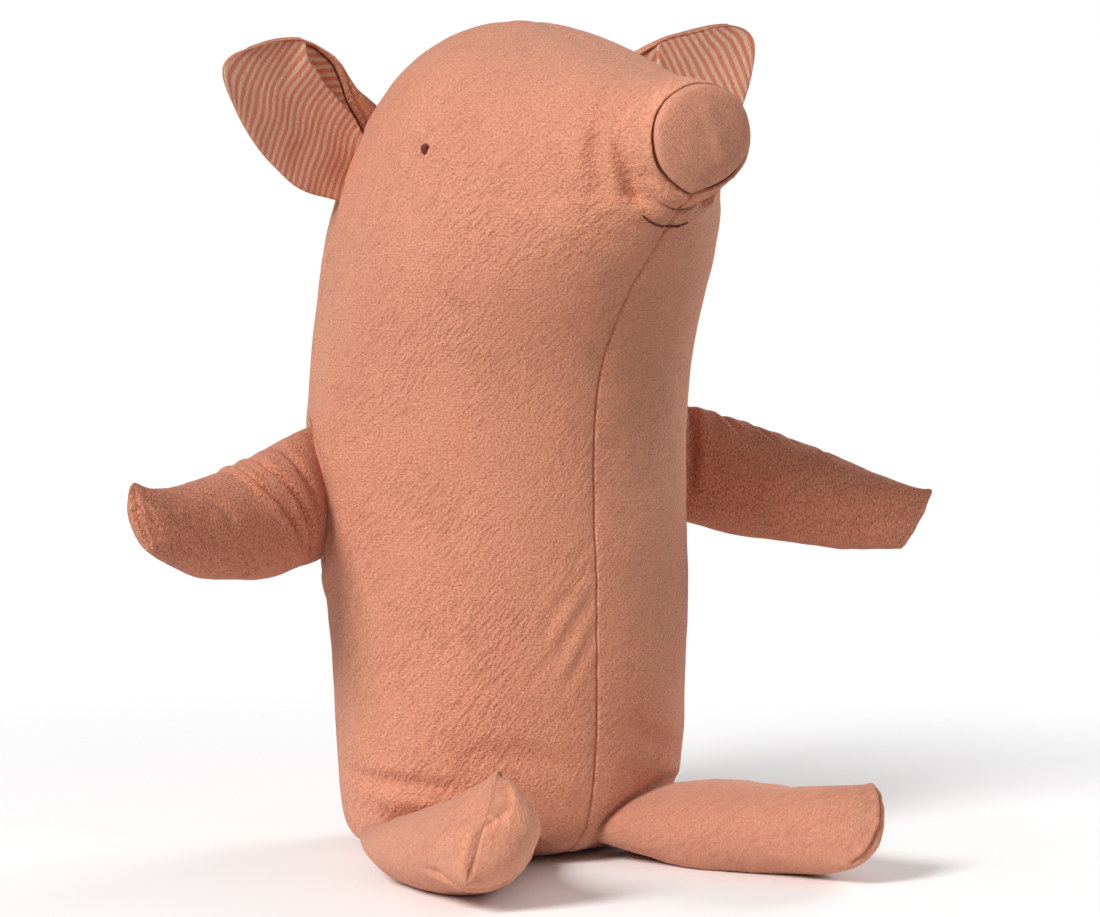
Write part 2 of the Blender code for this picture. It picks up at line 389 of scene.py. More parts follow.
def ranged(tree, value, low, high, newLow=0.0, newHigh=1.0):
    node = tree.nodes.new("ShaderNodeMapRange")
    feed(tree, node, "Value", value)
    node.inputs["From Min"].default_value = low
    node.inputs["From Max"].default_value = high
    node.inputs["To Min"].default_value = newLow
    node.inputs["To Max"].default_value = newHigh
    return node.outputs[0]


def mixed(tree, share, first, second):
    node = tree.nodes.new("ShaderNodeMix")
    node.data_type = "RGBA"
    feed(tree, node, "Factor", share)
    feed(tree, node, 6, first)
    feed(tree, node, 7, second)
    return node.outputs[2]


def raised(tree, shader, height, distance):
    bump = tree.nodes.new("ShaderNodeBump")
    bump.inputs["Distance"].default_value = distance
    feed(tree, bump, "Height", height)
    feed(tree, shader, "Normal", bump.outputs[0])


weaveShape = {
    "wander": 260.0, "drift": 0.0009,  # how often and how far a thread strays
    "dip": 0.55,  # a thread's height where it goes under the next one
    "gapBelow": 0.45,
}


def makeWeave():
    # plain weave: height of the threads, and a mask of the gaps between them
    group, given, out = newGroup(
        "plainWeave",
        [("Cloth", "NodeSocketVector", None), ("Pitch", "NodeSocketFloat", 0.0007)],
        [("Height", "NodeSocketFloat"), ("Gaps", "NodeSocketFloat")],
    )
    cloth = given.outputs["Cloth"]
    wander = calc(group, "SUBTRACT", noiseOf(group, cloth, weaveShape["wander"], 2.0), 0.5)
    offset = calc(group, "MULTIPLY", wander, weaveShape["drift"])
    split = group.nodes.new("ShaderNodeSeparateXYZ")
    group.links.new(cloth, split.inputs[0])
    turns = calc(group, "DIVIDE", math.pi, given.outputs["Pitch"])
    waves = []
    for direction in ("X", "Y"):
        strayed = calc(group, "ADD", split.outputs[direction], offset)
        waves.append(calc(group, "SINE", calc(group, "MULTIPLY", strayed, turns)))
    across, along = waves
    roundX = calc(group, "ABSOLUTE", across)
    roundY = calc(group, "ABSOLUTE", along)
    dip = weaveShape["dip"]
    warpOver = calc(group, "GREATER_THAN", calc(group, "MULTIPLY", across, along), 0.0)
    warp = calc(group, "MULTIPLY", roundX, calc(group, "MULTIPLY_ADD", roundY, 1 - dip, dip))
    weft = calc(group, "MULTIPLY", roundY, calc(group, "MULTIPLY_ADD", roundX, 1 - dip, dip))
    mix = group.nodes.new("ShaderNodeMix")
    feed(group, mix, "Factor", warpOver)
    feed(group, mix, 2, weft)
    feed(group, mix, 3, warp)
    feed(group, out, "Height", mix.outputs[0])
    feed(group, out, "Gaps", ranged(group, mix.outputs[0], 0.0, weaveShape["gapBelow"], 1.0, 0.0))
    return group


crinkleShape = {  # lengths across and along the slant
    "ripple": (0.0019, 0.0075), "wide": (0.0046, 0.0150), "grain": (0.0013, 0.0010),
    "rippleShare": 0.72,
    "patch": 24.0, "patchRange": (0.38, 0.60, 0.35, 1.15),
}


def makeCrinkle():
    # washed cloth: short slanting ripples in patches, over a finer pebbled grain
    group, given, out = newGroup(
        "washedCrinkle",
        [("Cloth", "NodeSocketVector", None), ("Place", "NodeSocketVector", None),
         ("Slant", "NodeSocketFloat", 0.75)],
        [("Height", "NodeSocketFloat"), ("Grain", "NodeSocketFloat")],
    )
    cloth = given.outputs["Cloth"]
    turned = group.nodes.new("ShaderNodeVectorRotate")
    turned.rotation_type = "Z_AXIS"
    feed(group, turned, "Vector", cloth)
    feed(group, turned, "Angle", given.outputs["Slant"])
    ripples = streaks(group, turned.outputs[0], crinkleShape["ripple"], 2.0, 0.55)
    wide = streaks(group, turned.outputs[0], crinkleShape["wide"], 1.0)
    patchNoise = noiseOf(group, given.outputs["Place"], crinkleShape["patch"], 1.0)
    patches = ranged(group, patchNoise, *crinkleShape["patchRange"])
    most = crinkleShape["rippleShare"]
    both = calc(group, "ADD", calc(group, "MULTIPLY", ripples, most), calc(group, "MULTIPLY", wide, 1 - most))
    strong = calc(group, "MULTIPLY", calc(group, "SUBTRACT", both, 0.5), patches)
    feed(group, out, "Height", calc(group, "ADD", strong, 0.5))
    feed(group, out, "Grain", streaks(group, cloth, crinkleShape["grain"], 2.0, 0.6))
    return group


slubShape = {"weft": (0.0200, 0.0008), "warp": (0.0008, 0.0140), "slubRange": (0.74, 0.80), "dye": 22.0}


def makeSlubs():
    # thicker weft threads and a faint unevenness of the dye
    group, given, out = newGroup(
        "slubsAndDye",
        [("Cloth", "NodeSocketVector", None), ("Place", "NodeSocketVector", None)],
        [("Slub", "NodeSocketFloat"), ("Dye", "NodeSocketFloat"), ("Threads", "NodeSocketFloat")],
    )
    cloth = given.outputs["Cloth"]
    weft = streaks(group, cloth, slubShape["weft"], 1.0)
    warp = streaks(group, cloth, slubShape["warp"], 1.0)
    feed(group, out, "Slub", ranged(group, weft, *slubShape["slubRange"]))
    feed(group, out, "Threads", calc(group, "MULTIPLY", calc(group, "ADD", weft, warp), 0.5))
    feed(group, out, "Dye", noiseOf(group, given.outputs["Place"], slubShape["dye"], 3.0, 0.55))
    return group


weaveGroup = makeWeave()
crinkleGroup = makeCrinkle()
slubGroup = makeSlubs()


def place(tree, group, **values):
    node = tree.nodes.new("ShaderNodeGroup")
    node.node_tree = group
    for label, value in values.items():
        feed(tree, node, label, value)
    return node


def newMaterial(name, roughness, sheen=0.0, sheenTint=(1, 1, 1)):
    material = bpy.data.materials.new(name)
    material.use_nodes = True
    shader = material.node_tree.nodes["Principled BSDF"]
    shader.inputs["Roughness"].default_value = roughness
    shader.inputs["Specular IOR Level"].default_value = 0.25
    shader.inputs["Sheen Weight"].default_value = sheen
    shader.inputs["Sheen Roughness"].default_value = 0.45
    shader.inputs["Sheen Tint"].default_value = (*sheenTint, 1)
    return material, material.node_tree, shader


def objectPlace(tree):
    return tree.nodes.new("ShaderNodeTexCoord").outputs["Object"]


def clothPlace(tree):
    node = tree.nodes.new("ShaderNodeUVMap")
    node.uv_map = "clothMap"
    return node.outputs["UV"]


def newCloth(name, look):
    # a cloth's relief, and the groups that its colour is mixed from
    material, tree, shader = newMaterial(name, look["roughness"], look["sheen"], look["sheenTint"])
    cloth, where = clothPlace(tree), objectPlace(tree)
    weave = place(tree, weaveGroup, Cloth=cloth, Pitch=look["pitch"])
    crinkle = place(tree, crinkleGroup, Cloth=cloth, Place=where, Slant=look["slant"])
    slubs = place(tree, slubGroup, Cloth=cloth, Place=where)
    height = calc(tree, "MULTIPLY", weave.outputs["Height"], look["weave"])
    height = calc(tree, "ADD", height, calc(tree, "MULTIPLY", crinkle.outputs["Height"], look["crinkle"]))
    height = calc(tree, "ADD", height, calc(tree, "MULTIPLY", crinkle.outputs["Grain"], look["grain"]))
    raised(tree, shader, height, 0.001)
    return material, tree, shader, weave.outputs["Gaps"], crinkle.outputs, slubs.outputs


linenLook = {
    "colour": (0.790, 0.334, 0.202),
    "dark": (0.410, 0.121, 0.064),
    "pale": (0.900, 0.500, 0.352),
    "pitch": 0.00062, "slant": 0.75,
    "weave": 0.16, "crinkle": 2.3, "grain": 1.15, "pitShade": 0.50, "grainHighlight": 0.55,
    "roughness": 0.92, "sheen": 0.26, "sheenTint": (1.0, 0.80, 0.68),
    # where each shade sets in and ends, and how strong it is at those ends; the darkening in the gaps, valleys
    # and pits is painted shade, and the pale on the grain's tops is a painted highlight
    "dyeRange": (0.35, 0.65, 0.0, 0.12), "threadRange": (0.36, 0.64, 0.16, 0.0), "gaps": 0.30,
    "valleyShadeRange": (0.40, 0.52, 0.26, 0.0), "pitShadeRange": (0.34, 0.50), "grainHighlightRange": (0.54, 0.74), "slubs": 0.25,
}
# the snout disc's copy of the linen is brighter than the body's: painted light on the disc; its coarser weave
# is the cloth's own
litDiscLook = {
    **linenLook,
    "colour": (0.960, 0.415, 0.262),
    "dark": (0.540, 0.190, 0.110),
    "pale": (0.950, 0.560, 0.400),
    "pitch": 0.00085, "slant": 0.0,
    "weave": 0.34, "crinkle": 0.5, "grain": 1.1, "pitShade": 0.60, "grainHighlight": 0.50,
}
# the arms' copy of the linen has a darker shade and more darkened pits: painted shade for the arms; their
# stronger pebbled grain is the cloth's own relief
shadedArmLook = {
    **linenLook,
    "colour": (0.830, 0.306, 0.180),
    "dark": (0.280, 0.068, 0.035),
    "crinkle": 1.4, "grain": 1.8, "pitShade": 0.62, "grainHighlight": 0.62,
}
legLook = {
    **linenLook,
    "colour": (0.730, 0.325, 0.205),
    "crinkle": 0.9, "grain": 0.55, "pitShade": 0.30, "grainHighlight": 0.40,
}


def makeLinen(name, look):
    material, tree, shader, gaps, crinkle, slubs = newCloth(name, look)
    dark, pale = (*look["dark"], 1), (*look["pale"], 1)
    colour = (*look["colour"], 1)
    # painted shade in the weave's gaps, in the crinkle's valleys and in the grain's pits, and a painted
    # highlight on the grain's raised tops; the dye, the threads and the slubs are the cloth's own tone
    for share, shade in (
        (ranged(tree, slubs["Dye"], *look["dyeRange"]), dark),
        (ranged(tree, slubs["Threads"], *look["threadRange"]), dark),
        (calc(tree, "MULTIPLY", gaps, look["gaps"]), dark),
        (ranged(tree, crinkle["Height"], *look["valleyShadeRange"]), dark),
        (ranged(tree, crinkle["Grain"], *look["pitShadeRange"], look["pitShade"], 0.0), dark),
        (ranged(tree, crinkle["Grain"], *look["grainHighlightRange"], 0.0, look["grainHighlight"]), pale),
        (calc(tree, "MULTIPLY", slubs["Slub"], look["slubs"]), pale),
    ):
        colour = mixed(tree, share, colour, shade)
    feed(tree, shader, "Base Color", colour)
    return material


liningLook = {
    "red": (0.720, 0.235, 0.135),
    "beige": (0.800, 0.540, 0.395),
    "dark": (0.380, 0.135, 0.080),
    "pitch": 0.00070, "slant": 0.0,
    "weave": 0.14, "crinkle": 0.45, "grain": 0.40,
    "roughness": 0.92, "sheen": 0.12, "sheenTint": (1.0, 0.85, 0.75),
    "threadRange": (0.36, 0.64, 0.18, 0.0), "pitShadeRange": (0.36, 0.52, 0.35, 0.0), "gaps": 0.35,
    "stripePitch": 0.0036, "redShare": 0.52, "stripeEdge": 0.07, "fray": 0.0011,
}


def makeLining(name, look):
    # stripes run along the map's second direction and wander with the cloth
    material, tree, shader, gaps, crinkle, slubs = newCloth(name, look)
    split = tree.nodes.new("ShaderNodeSeparateXYZ")
    feed(tree, split, 0, clothPlace(tree))
    fray = calc(tree, "MULTIPLY", calc(tree, "SUBTRACT", crinkle["Grain"], 0.5), look["fray"])
    across = calc(tree, "ADD", split.outputs["X"], fray)
    phase = calc(tree, "FRACT", calc(tree, "DIVIDE", across, look["stripePitch"]))
    fromMiddle = calc(tree, "ABSOLUTE", calc(tree, "SUBTRACT", phase, 0.5))
    edge = look["redShare"] / 2
    red = ranged(tree, fromMiddle, edge - look["stripeEdge"], edge + look["stripeEdge"], 1.0, 0.0)
    colour = mixed(tree, red, (*look["beige"], 1), (*look["red"], 1))
    # painted shade in the grain's pits and in the weave's gaps; the threads' darker tone is the cloth's own
    for share in (
        ranged(tree, slubs["Threads"], *look["threadRange"]),
        ranged(tree, crinkle["Grain"], *look["pitShadeRange"]),
        calc(tree, "MULTIPLY", gaps, look["gaps"]),
    ):
        colour = mixed(tree, share, colour, (*look["dark"], 1))
    feed(tree, shader, "Base Color", colour)
    return material


threadLook = {
    "colour": (0.125, 0.024, 0.012),
    "pale": (0.215, 0.050, 0.027),
    "roughness": 0.7, "sheen": 0.1, "fibres": 2600.0, "fibreRange": (0.35, 0.7), "fibreHeight": 0.0002,
}


def makeThread(name, look):
    material, tree, shader = newMaterial(name, look["roughness"], look["sheen"])
    fibres = noiseOf(tree, objectPlace(tree), look["fibres"], 2.0)
    shade = ranged(tree, fibres, *look["fibreRange"])
    feed(tree, shader, "Base Color", mixed(tree, shade, (*look["colour"], 1), (*look["pale"], 1)))
    raised(tree, shader, fibres, look["fibreHeight"])
    return material


linen = makeLinen("linen", linenLook)
# painted light: the snout disc's linen is a brighter copy of the body's
litDiscLinen = makeLinen("litSnoutLinen", litDiscLook)
# painted shade: the arms' linen is a darker copy of the body's
shadedArmLinen = makeLinen("shadedArmLinen", shadedArmLook)
legLinen = makeLinen("legLinen", legLook)
lining = makeLining("stripedLining", liningLook)
thread = makeThread("darkThread", threadLook)


def dress(piece, material, nodeNames):
    piece.data.materials.clear()
    piece.data.materials.append(material)
    for polygon in piece.data.polygons:
        polygon.use_smooth = True
    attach(piece, "root")
    if nodeNames:
        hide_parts(*nodeNames)
    print("made", piece.name, len(piece.data.polygons), "faces")


# camera, lights and floor

stage = {
    "camera": (-0.78074, -1.39423, 0.26434), "target": (0.01816, -0.01049, 0.1806), "lens": 112.35,
    "key": (-1.84, -0.80, 1.36), "keySize": 0.8, "keyPower": 53.0,
    "fill": (2.0, -1.5, 0.55), "fillSize": 1.6, "fillPower": 3.5,
    "rim": (1.7, 0.5, 0.7), "rimSize": 1.0, "rimPower": 20.0,
    "lampTarget": (0, 0, 0.18),
    "floorRadius": 3.0, "floorClear": (0.22, 0.60), "floorColour": (0.97, 0.97, 0.97, 1),
    "sky": 0.36,
}


def aim(item, place, target):
    item.location = place
    item.rotation_euler = (Vector(target) - Vector(place)).to_track_quat("-Z", "Y").to_euler()


def areaLight(name):
    lamp = bpy.data.lights.new(name + "Light", "AREA")
    lamp.shape = "DISK"
    lamp.size = stage[name + "Size"]
    lamp.energy = stage[name + "Power"]
    item = bpy.data.objects.new(name + "Light", lamp)
    scene.collection.objects.link(item)
    aim(item, stage[name], stage["lampTarget"])


def makeSky():
    # the sky is white to the camera and dimmer as a light
    world = bpy.data.worlds.new("studio")
    world.use_nodes = True
    scene.world = world
    tree = world.node_tree
    seen = tree.nodes.new("ShaderNodeLightPath")
    strength = ranged(tree, seen.outputs["Is Camera Ray"], 0.0, 1.0, stage["sky"], 1.0)
    feed(tree, tree.nodes["Background"], "Color", (1, 1, 1, 1))
    feed(tree, tree.nodes["Background"], "Strength", strength)


def makeFloor():
    # the floor fades out into the sky
    bpy.ops.object.select_all(action="DESELECT")
    bpy.ops.mesh.primitive_circle_add(vertices=96, radius=stage["floorRadius"], fill_type="NGON")
    floor = bpy.context.object
    floor.name = "floor"
    material, tree, shader = newMaterial("paleFloor", 0.9)
    length = tree.nodes.new("ShaderNodeVectorMath")
    length.operation = "LENGTH"
    feed(tree, length, 0, objectPlace(tree))
    near, far = stage["floorClear"]
    feed(tree, shader, "Alpha", ranged(tree, length.outputs["Value"], near, far, 1.0, 0.0))
    shader.inputs["Base Color"].default_value = stage["floorColour"]
    floor.data.materials.append(material)


def makeStage():
    camera = bpy.data.objects.new("camera", bpy.data.cameras.new("camera"))
    scene.collection.objects.link(camera)
    camera.data.sensor_width = 36
    camera.data.lens = stage["lens"]
    aim(camera, stage["camera"], stage["target"])
    scene.camera = camera
    for name in ("key", "fill", "rim"):
        areaLight(name)
    makeSky()
    makeFloor()
    scene.view_settings.view_transform = "Standard"
    print("stage is set")


makeStage()


# where the snout's disc is sewn in

snout = {
    "middle": (0.0, -0.1700, 0.3235), "nod": math.radians(17),
    "reach": [  # turn in degrees, reach of the disc's seam; the pull of the chin's seam gives it a corner
        (-180, 0.0237), (-171, 0.0229), (-152, 0.0222), (-132, 0.0219), (-113, 0.0225), (-101, 0.0236),
        (-94, 0.0246), (-87, 0.0236), (-76, 0.0229), (-59, 0.0234), (-41, 0.0241), (-24, 0.0241), (0, 0.0233),
        (22, 0.0227), (45, 0.0223), (70, 0.0222), (90, 0.0229), (112, 0.0242), (131, 0.0252), (146, 0.0257),
        (160, 0.0252), (172, 0.0243), (180, 0.0237),
    ],
    "open": (math.radians(-52), math.radians(30)),  # where the disc's seam lies open, and how far round
    "front": -0.0045, "edge": 0.0226,  # the muzzle's front face and the reach of its edge
    "roll": {  # distance round the muzzle's edge: (reach beyond the seam, height, share)
        -0.0080: (-0.0040, -0.0045, 0.0), -0.0030: (-0.0018, -0.0038, 1.0), -0.0006: (-0.0005, -0.0030, 1.0),
        0.0006: (0.0002, -0.0017, 1.0), 0.0018: (0.0014, -0.0007, 1.0), 0.0032: (0.0027, -0.0013, 1.0),
        0.0052: (0.0037, -0.0038, 1.0), 0.0085: (0.0036, -0.0082, 1.0), 0.0130: (0.0024, -0.0140, 0.7),
        0.0200: (0.0, -0.0230, 0.0),
    },
    "rollStrength": (0.62, 0.38, 0.55),  # all round, less on top than at the chin, more where the seam is open
    "cutFiner": (0.0165, 0.0300, -0.0150),  # the zone that gets more points: its reaches and its back
    "rollReach": 0.0335, "rollFade": 0.0060, "frontFade": (0.0020, 0.0010), "mostInward": -0.0008,
}


def snoutPlace():
    normal = Vector((0, -math.cos(snout["nod"]), -math.sin(snout["nod"])))
    return Matrix.Translation(snout["middle"]) @ normal.to_track_quat("Z", "Y").to_matrix().to_4x4()


def moveBy(places, matrix):
    matrix = np.array(matrix)
    return places @ matrix[:3, :3].T + matrix[:3, 3]


def toSnout(places):
    # places as the disc sees them: its middle is the origin and +Z runs forward out of it
    return moveBy(places, snoutPlace().inverted())


def fromSnout(places):
    return moveBy(places, snoutPlace())


def roundSnout(places):
    # reach from the disc's axis and turn about it
    radius = np.maximum(np.linalg.norm(places[:, :2], axis=1), 1e-6)
    return radius, np.arctan2(places[:, 1], places[:, 0])


def discReach(angle):
    turns, reach = zip(*snout["reach"])
    return np.interp(np.degrees(angle), turns, reach, period=360)


def rimOpen(angle):
    # 1 at the disc's lower left edge, where its seam lies open, and 0 away from it
    return np.exp(-((angle - snout["open"][0]) / snout["open"][1]) ** 2)


# head and trunk: one bag of four panels, sewn along the middle and from ear to hem

body = {
    "voxel": 0.004, "neckWeld": 0.0009,
    "neckPoint": (0.0, 0.0, 0.2235), "neckLean": math.radians(22),
    "neckNear": 0.0012, "neckAlike": 0.98,  # how near to the neck's cut, and how parallel to it, its faces are
    "relax": (0.5, 3),
    "sidePoint": (0.0, 0.0250, 0.1700), "sideLean": (0.0, 1.0, 0.0532),
    "startSmaller": 0.0012,
    "stuffing": {"pressure": 3.0, "stiffness": 18.0, "cap": 0.0035}, "sewnReach": 0.003,
    "seamDepth": 0.0016, "seamWidth": 0.00045, "seamSteps": (0.0004, 0.0012),
    "seamShown": (0.003, 0.008),  # how far behind the disc the upper seam starts, and how soon it is whole
    "crown": 0.0006, "crownReach": 0.006,
    "lump": (0.0009, 0.040), "smallLump": (0.00035, 0.014),
    "pucker": 0.00022, "puckerLength": 0.0075, "puckerReach": 0.007,
}
bodyFolds = [  # points, depth, width, ridge: the dents behind the snout, on both sides
    ([(-0.0236, -0.1370, 0.3490), (-0.0285, -0.1378, 0.3400), (-0.0335, -0.1388, 0.3300),
      (-0.0350, -0.1376, 0.3200), (-0.0330, -0.1371, 0.3090), (-0.0290, -0.1360, 0.2990)],
     0.0030, 0.0036, 0.42),
    ([(-0.0290, -0.1470, 0.3230), (-0.0262, -0.1480, 0.3160), (-0.0236, -0.1480, 0.3100),
      (-0.0213, -0.1470, 0.3045), (-0.0182, -0.1455, 0.2990), (-0.0145, -0.1442, 0.2944),
      (-0.0085, -0.1425, 0.2905)], 0.0034, 0.0028, 0.50),
    ([(-0.0400, -0.1290, 0.3270), (-0.0420, -0.1275, 0.3180), (-0.0400, -0.1270, 0.3090)],
     0.0010, 0.0030, 0.3),
]
bodyFoldsOneSide = [
    # above the right leg, from the side to the front
    ([(-0.0806, 0.0113, 0.0413), (-0.0816, -0.0118, 0.0382), (-0.0738, -0.0382, 0.0378),
      (-0.0622, -0.0553, 0.0369), (-0.0541, -0.0636, 0.0397)], 0.0024, 0.0034, 0.5),
    ([(-0.0603, -0.0592, 0.0498), (-0.0509, -0.0679, 0.0525), (-0.0396, -0.0750, 0.0525),
      (-0.0272, -0.0801, 0.0500), (-0.0136, -0.0832, 0.0468), (-0.0038, -0.0843, 0.0476)],
     0.0014, 0.0050, 0.4),
    # slanting pulls that run up to the middle seam
    ([(-0.0278, -0.0812, 0.1046), (-0.0212, -0.0830, 0.1155), (-0.0132, -0.0843, 0.1263),
      (-0.0030, -0.0847, 0.1380)], 0.0009, 0.0026, 0.7),
    ([(-0.0244, -0.0824, 0.0903), (-0.0176, -0.0840, 0.1007), (-0.0106, -0.0851, 0.1120),
      (-0.0018, -0.0854, 0.1240)], 0.0010, 0.0026, 0.7),
    ([(-0.0190, -0.0837, 0.0776), (-0.0135, -0.0849, 0.0863), (-0.0072, -0.0856, 0.0972),
      (-0.0012, -0.0858, 0.1085)], 0.0008, 0.0024, 0.7),
    ([(-0.0187, -0.0832, 0.1265), (-0.0130, -0.0840, 0.1352), (-0.0080, -0.0842, 0.1417),
      (-0.0018, -0.0843, 0.1500)], 0.0006, 0.0023, 0.6),
    ([(-0.0340, -0.0790, 0.0820), (-0.0270, -0.0812, 0.0910), (-0.0215, -0.0825, 0.0985)],
     0.0007, 0.0018, 0.6),
    # the left flank, pulled in under its arm and over its leg
    ([(0.0170, -0.0840, 0.0640), (0.0330, -0.0790, 0.0560), (0.0520, -0.0700, 0.0490),
      (0.0680, -0.0560, 0.0440)], 0.0012, 0.0050, 0.4),
    # the side seams draw in below the arms and below the ears
    ([(-0.0880, 0.0100, 0.1260), (-0.0880, 0.0250, 0.1215), (-0.0875, 0.0360, 0.1190)],
     0.0020, 0.0030, 0.6),
    ([(-0.0860, 0.0080, 0.2690), (-0.0885, 0.0190, 0.2700), (-0.0880, 0.0320, 0.2690)],
     0.0018, 0.0036, 0.8),
    # slack over the crown
    ([(-0.0090, -0.0760, 0.3710), (-0.0080, -0.0880, 0.3675), (-0.0062, -0.1010, 0.3640)],
     0.0009, 0.0024, 0.6),
    ([(-0.0260, -0.0300, 0.3770), (-0.0130, -0.0335, 0.3800), (0.0000, -0.0350, 0.3805),
      (0.0130, -0.0335, 0.3800)], 0.0011, 0.0026, 0.7),
]


throat = {  # height: how far the skin comes forward of the carved solid below the snout's roll
    "forward": {0.225: 0.0, 0.246: 0.0018, 0.2587: 0.0038, 0.2705: 0.0066, 0.2756: 0.0080, 0.2800: 0.0085,
                0.2856: 0.0086, 0.2900: 0.0080, 0.2947: 0.0062, 0.2975: 0.0030, 0.2992: 0.0},
    "wide": 0.046, "frontFrom": -0.060, "frontFade": 0.020,
}
chin = {  # below the roll the chin runs down and back: its reach at the lip, slope, end and width
    "lip": 0.0010, "lipReach": 0.0272, "slope": 0.87, "end": 0.0125, "most": 0.0345, "turn": math.radians(40),
    "endFade": 0.0030, "disc": 0.0250, "discFade": 0.0014,  # nothing within the disc's reach moves
    "smoothZone": (0.0256, 0.0460, -0.0170, 1.2),  # its inner and outer reach, its back and its width
    "smoothTimes": 14, "seamDepth": 0.7,  # a share of the body's own
}
armSwells = [  # side, swell, middle (back, up) and spread (back, up): the flank stands out over the arm's seam
    (-1, 0.0108, (0.006, 0.174), (0.034, 0.036)),
    (1, 0.0060, (0.010, 0.184), (0.024, 0.026)),
]
swellFrom = 0.060  # the flanks' swells fade out towards the middle from here


def seamPlanes():
    return [((0, 0, 0), (1, 0, 0)), (body["sidePoint"], Vector(body["sideLean"]).normalized()[:])]


def seamGroove(away):
    return np.exp(-(np.abs(away) / body["seamWidth"]) ** 1.3)


def openNeck(skin):
    # the two faces of the neck's cut go, so that head and trunk are one bag
    lean = body["neckLean"]
    neckNormal = Vector((0, -math.sin(lean), -math.cos(lean)))
    startEdit(skin, "FACE")
    bpy.ops.mesh.select_all(action="DESELECT")
    endEdit()
    for polygon in skin.data.polygons:
        away = abs((polygon.center - Vector(body["neckPoint"])).dot(neckNormal))
        polygon.select = away < body["neckNear"] and abs(polygon.normal.dot(neckNormal)) > body["neckAlike"]
    startEdit(skin, "FACE")
    bpy.ops.mesh.delete(type="FACE")
    endEdit()


def makeBody():
    skin = copyOfNodes("bodySkin", ["trunk", "head"], body["neckWeld"])
    openNeck(skin)
    remesh(skin, body["voxel"])
    relax = skin.modifiers.new("relax", "SMOOTH")
    relax.factor, relax.iterations = body["relax"]
    finishModifier(skin, relax)
    for point, normal in seamPlanes():
        cutAt(skin, point, normal)
    places = spots(skin)
    held = [np.exp(-(awayFrom(places, plane) / body["sewnReach"]) ** 2) for plane in seamPlanes()]
    push(skin, np.full(len(places), -body["startSmaller"]))
    fill(skin, body["stuffing"], np.maximum(*held))
    layFlat(skin, seamPlanes(), (0, 0, 1))
    smoothOut(skin)
    print("bag is filled")
    return skin


def rollMuzzle(skin):
    # the muzzle's edge comes forward round the sewn-in disc and rolls over
    inner, outer, behind = snout["cutFiner"]
    places = toSnout(spots(skin))
    radius = np.linalg.norm(places[:, :2], axis=1)
    editPoints(skin, (radius < outer) & (radius > inner) & (places[:, 2] > behind))
    bpy.ops.mesh.subdivide(number_cuts=1)
    endEdit()
    places = toSnout(spots(skin))
    radius, angle = roundSnout(places)
    slack, fade = snout["frontFade"]
    inFront = np.clip((places[:, 2] - snout["front"] + slack) / fade, 0, 1)
    aroundEdge = (radius - snout["edge"]) * inFront + np.maximum(snout["front"] - places[:, 2], 0)
    stations = list(snout["roll"])
    outTo, upTo, share = (np.interp(aroundEdge, stations, column) for column in zip(*snout["roll"].values()))
    share *= np.clip((snout["rollReach"] - radius) / snout["rollFade"], 0, 1)
    # the roll stands out most at the chin and least on top
    allRound, lessOnTop, atOpen = snout["rollStrength"]
    strength = allRound - lessOnTop * np.sin(angle) + atOpen * rimOpen(angle)
    target = discReach(angle) + np.minimum(outTo, outTo * strength)
    grown = radius + np.maximum(target - radius, snout["mostInward"]) * share
    places[:, :2] *= (grown / radius)[:, None]
    places[:, 2] += (upTo - places[:, 2]) * share
    setSpots(skin, fromSnout(places))


def swellBody(skin):
    # the throat comes forward, and the flanks stand out over the arms' seams
    places = spots(skin)
    facing = np.clip((throat["frontFrom"] - places[:, 1]) / throat["frontFade"], 0, 1)
    facing *= np.exp(-(places[:, 0] / throat["wide"]) ** 2)
    places[:, 1] -= np.interp(places[:, 2], list(throat["forward"]), list(throat["forward"].values())) * facing
    for side, swell, middle, spread in armSwells:
        away = ((places[:, 1] - middle[0]) / spread[0]) ** 2 + ((places[:, 2] - middle[1]) / spread[1]) ** 2
        places[:, 0] += side * swell * np.exp(-away) * np.clip(places[:, 0] * side / swellFrom, 0, 1)
    setSpots(skin, places)


def fillChin(skin):
    places = toSnout(spots(skin))
    radius, angle = roundSnout(places)
    behind = -places[:, 2] - chin["lip"]
    full = np.minimum(chin["lipReach"] + chin["slope"] * behind, chin["most"])
    share = np.exp(-((angle + math.pi / 2) / chin["turn"]) ** 2) * (behind > 0)
    share *= np.clip((chin["end"] + places[:, 2]) / chin["endFade"], 0, 1)
    share *= np.clip((radius - chin["disc"]) / chin["discFade"], 0, 1)
    places[:, :2] *= (1 + np.maximum(full - radius, 0) * share / radius)[:, None]
    setSpots(skin, fromSnout(places))
    # the chin is smoothed, and its seam drawn in again
    inner, outer, back, wide = chin["smoothZone"]
    radius = np.linalg.norm(places[:, :2], axis=1)
    chosen = (np.abs(angle + math.pi / 2) < wide * chin["turn"]) & (radius > inner) & (radius < outer)
    chosen &= (places[:, 2] < -chin["lip"]) & (places[:, 2] > back)
    editPoints(skin, chosen)
    bpy.ops.mesh.vertices_smooth(factor=0.5, repeat=chin["smoothTimes"])
    endEdit()
    push(skin, -body["seamDepth"] * chin["seamDepth"] * chosen * seamGroove(places[:, 0]))


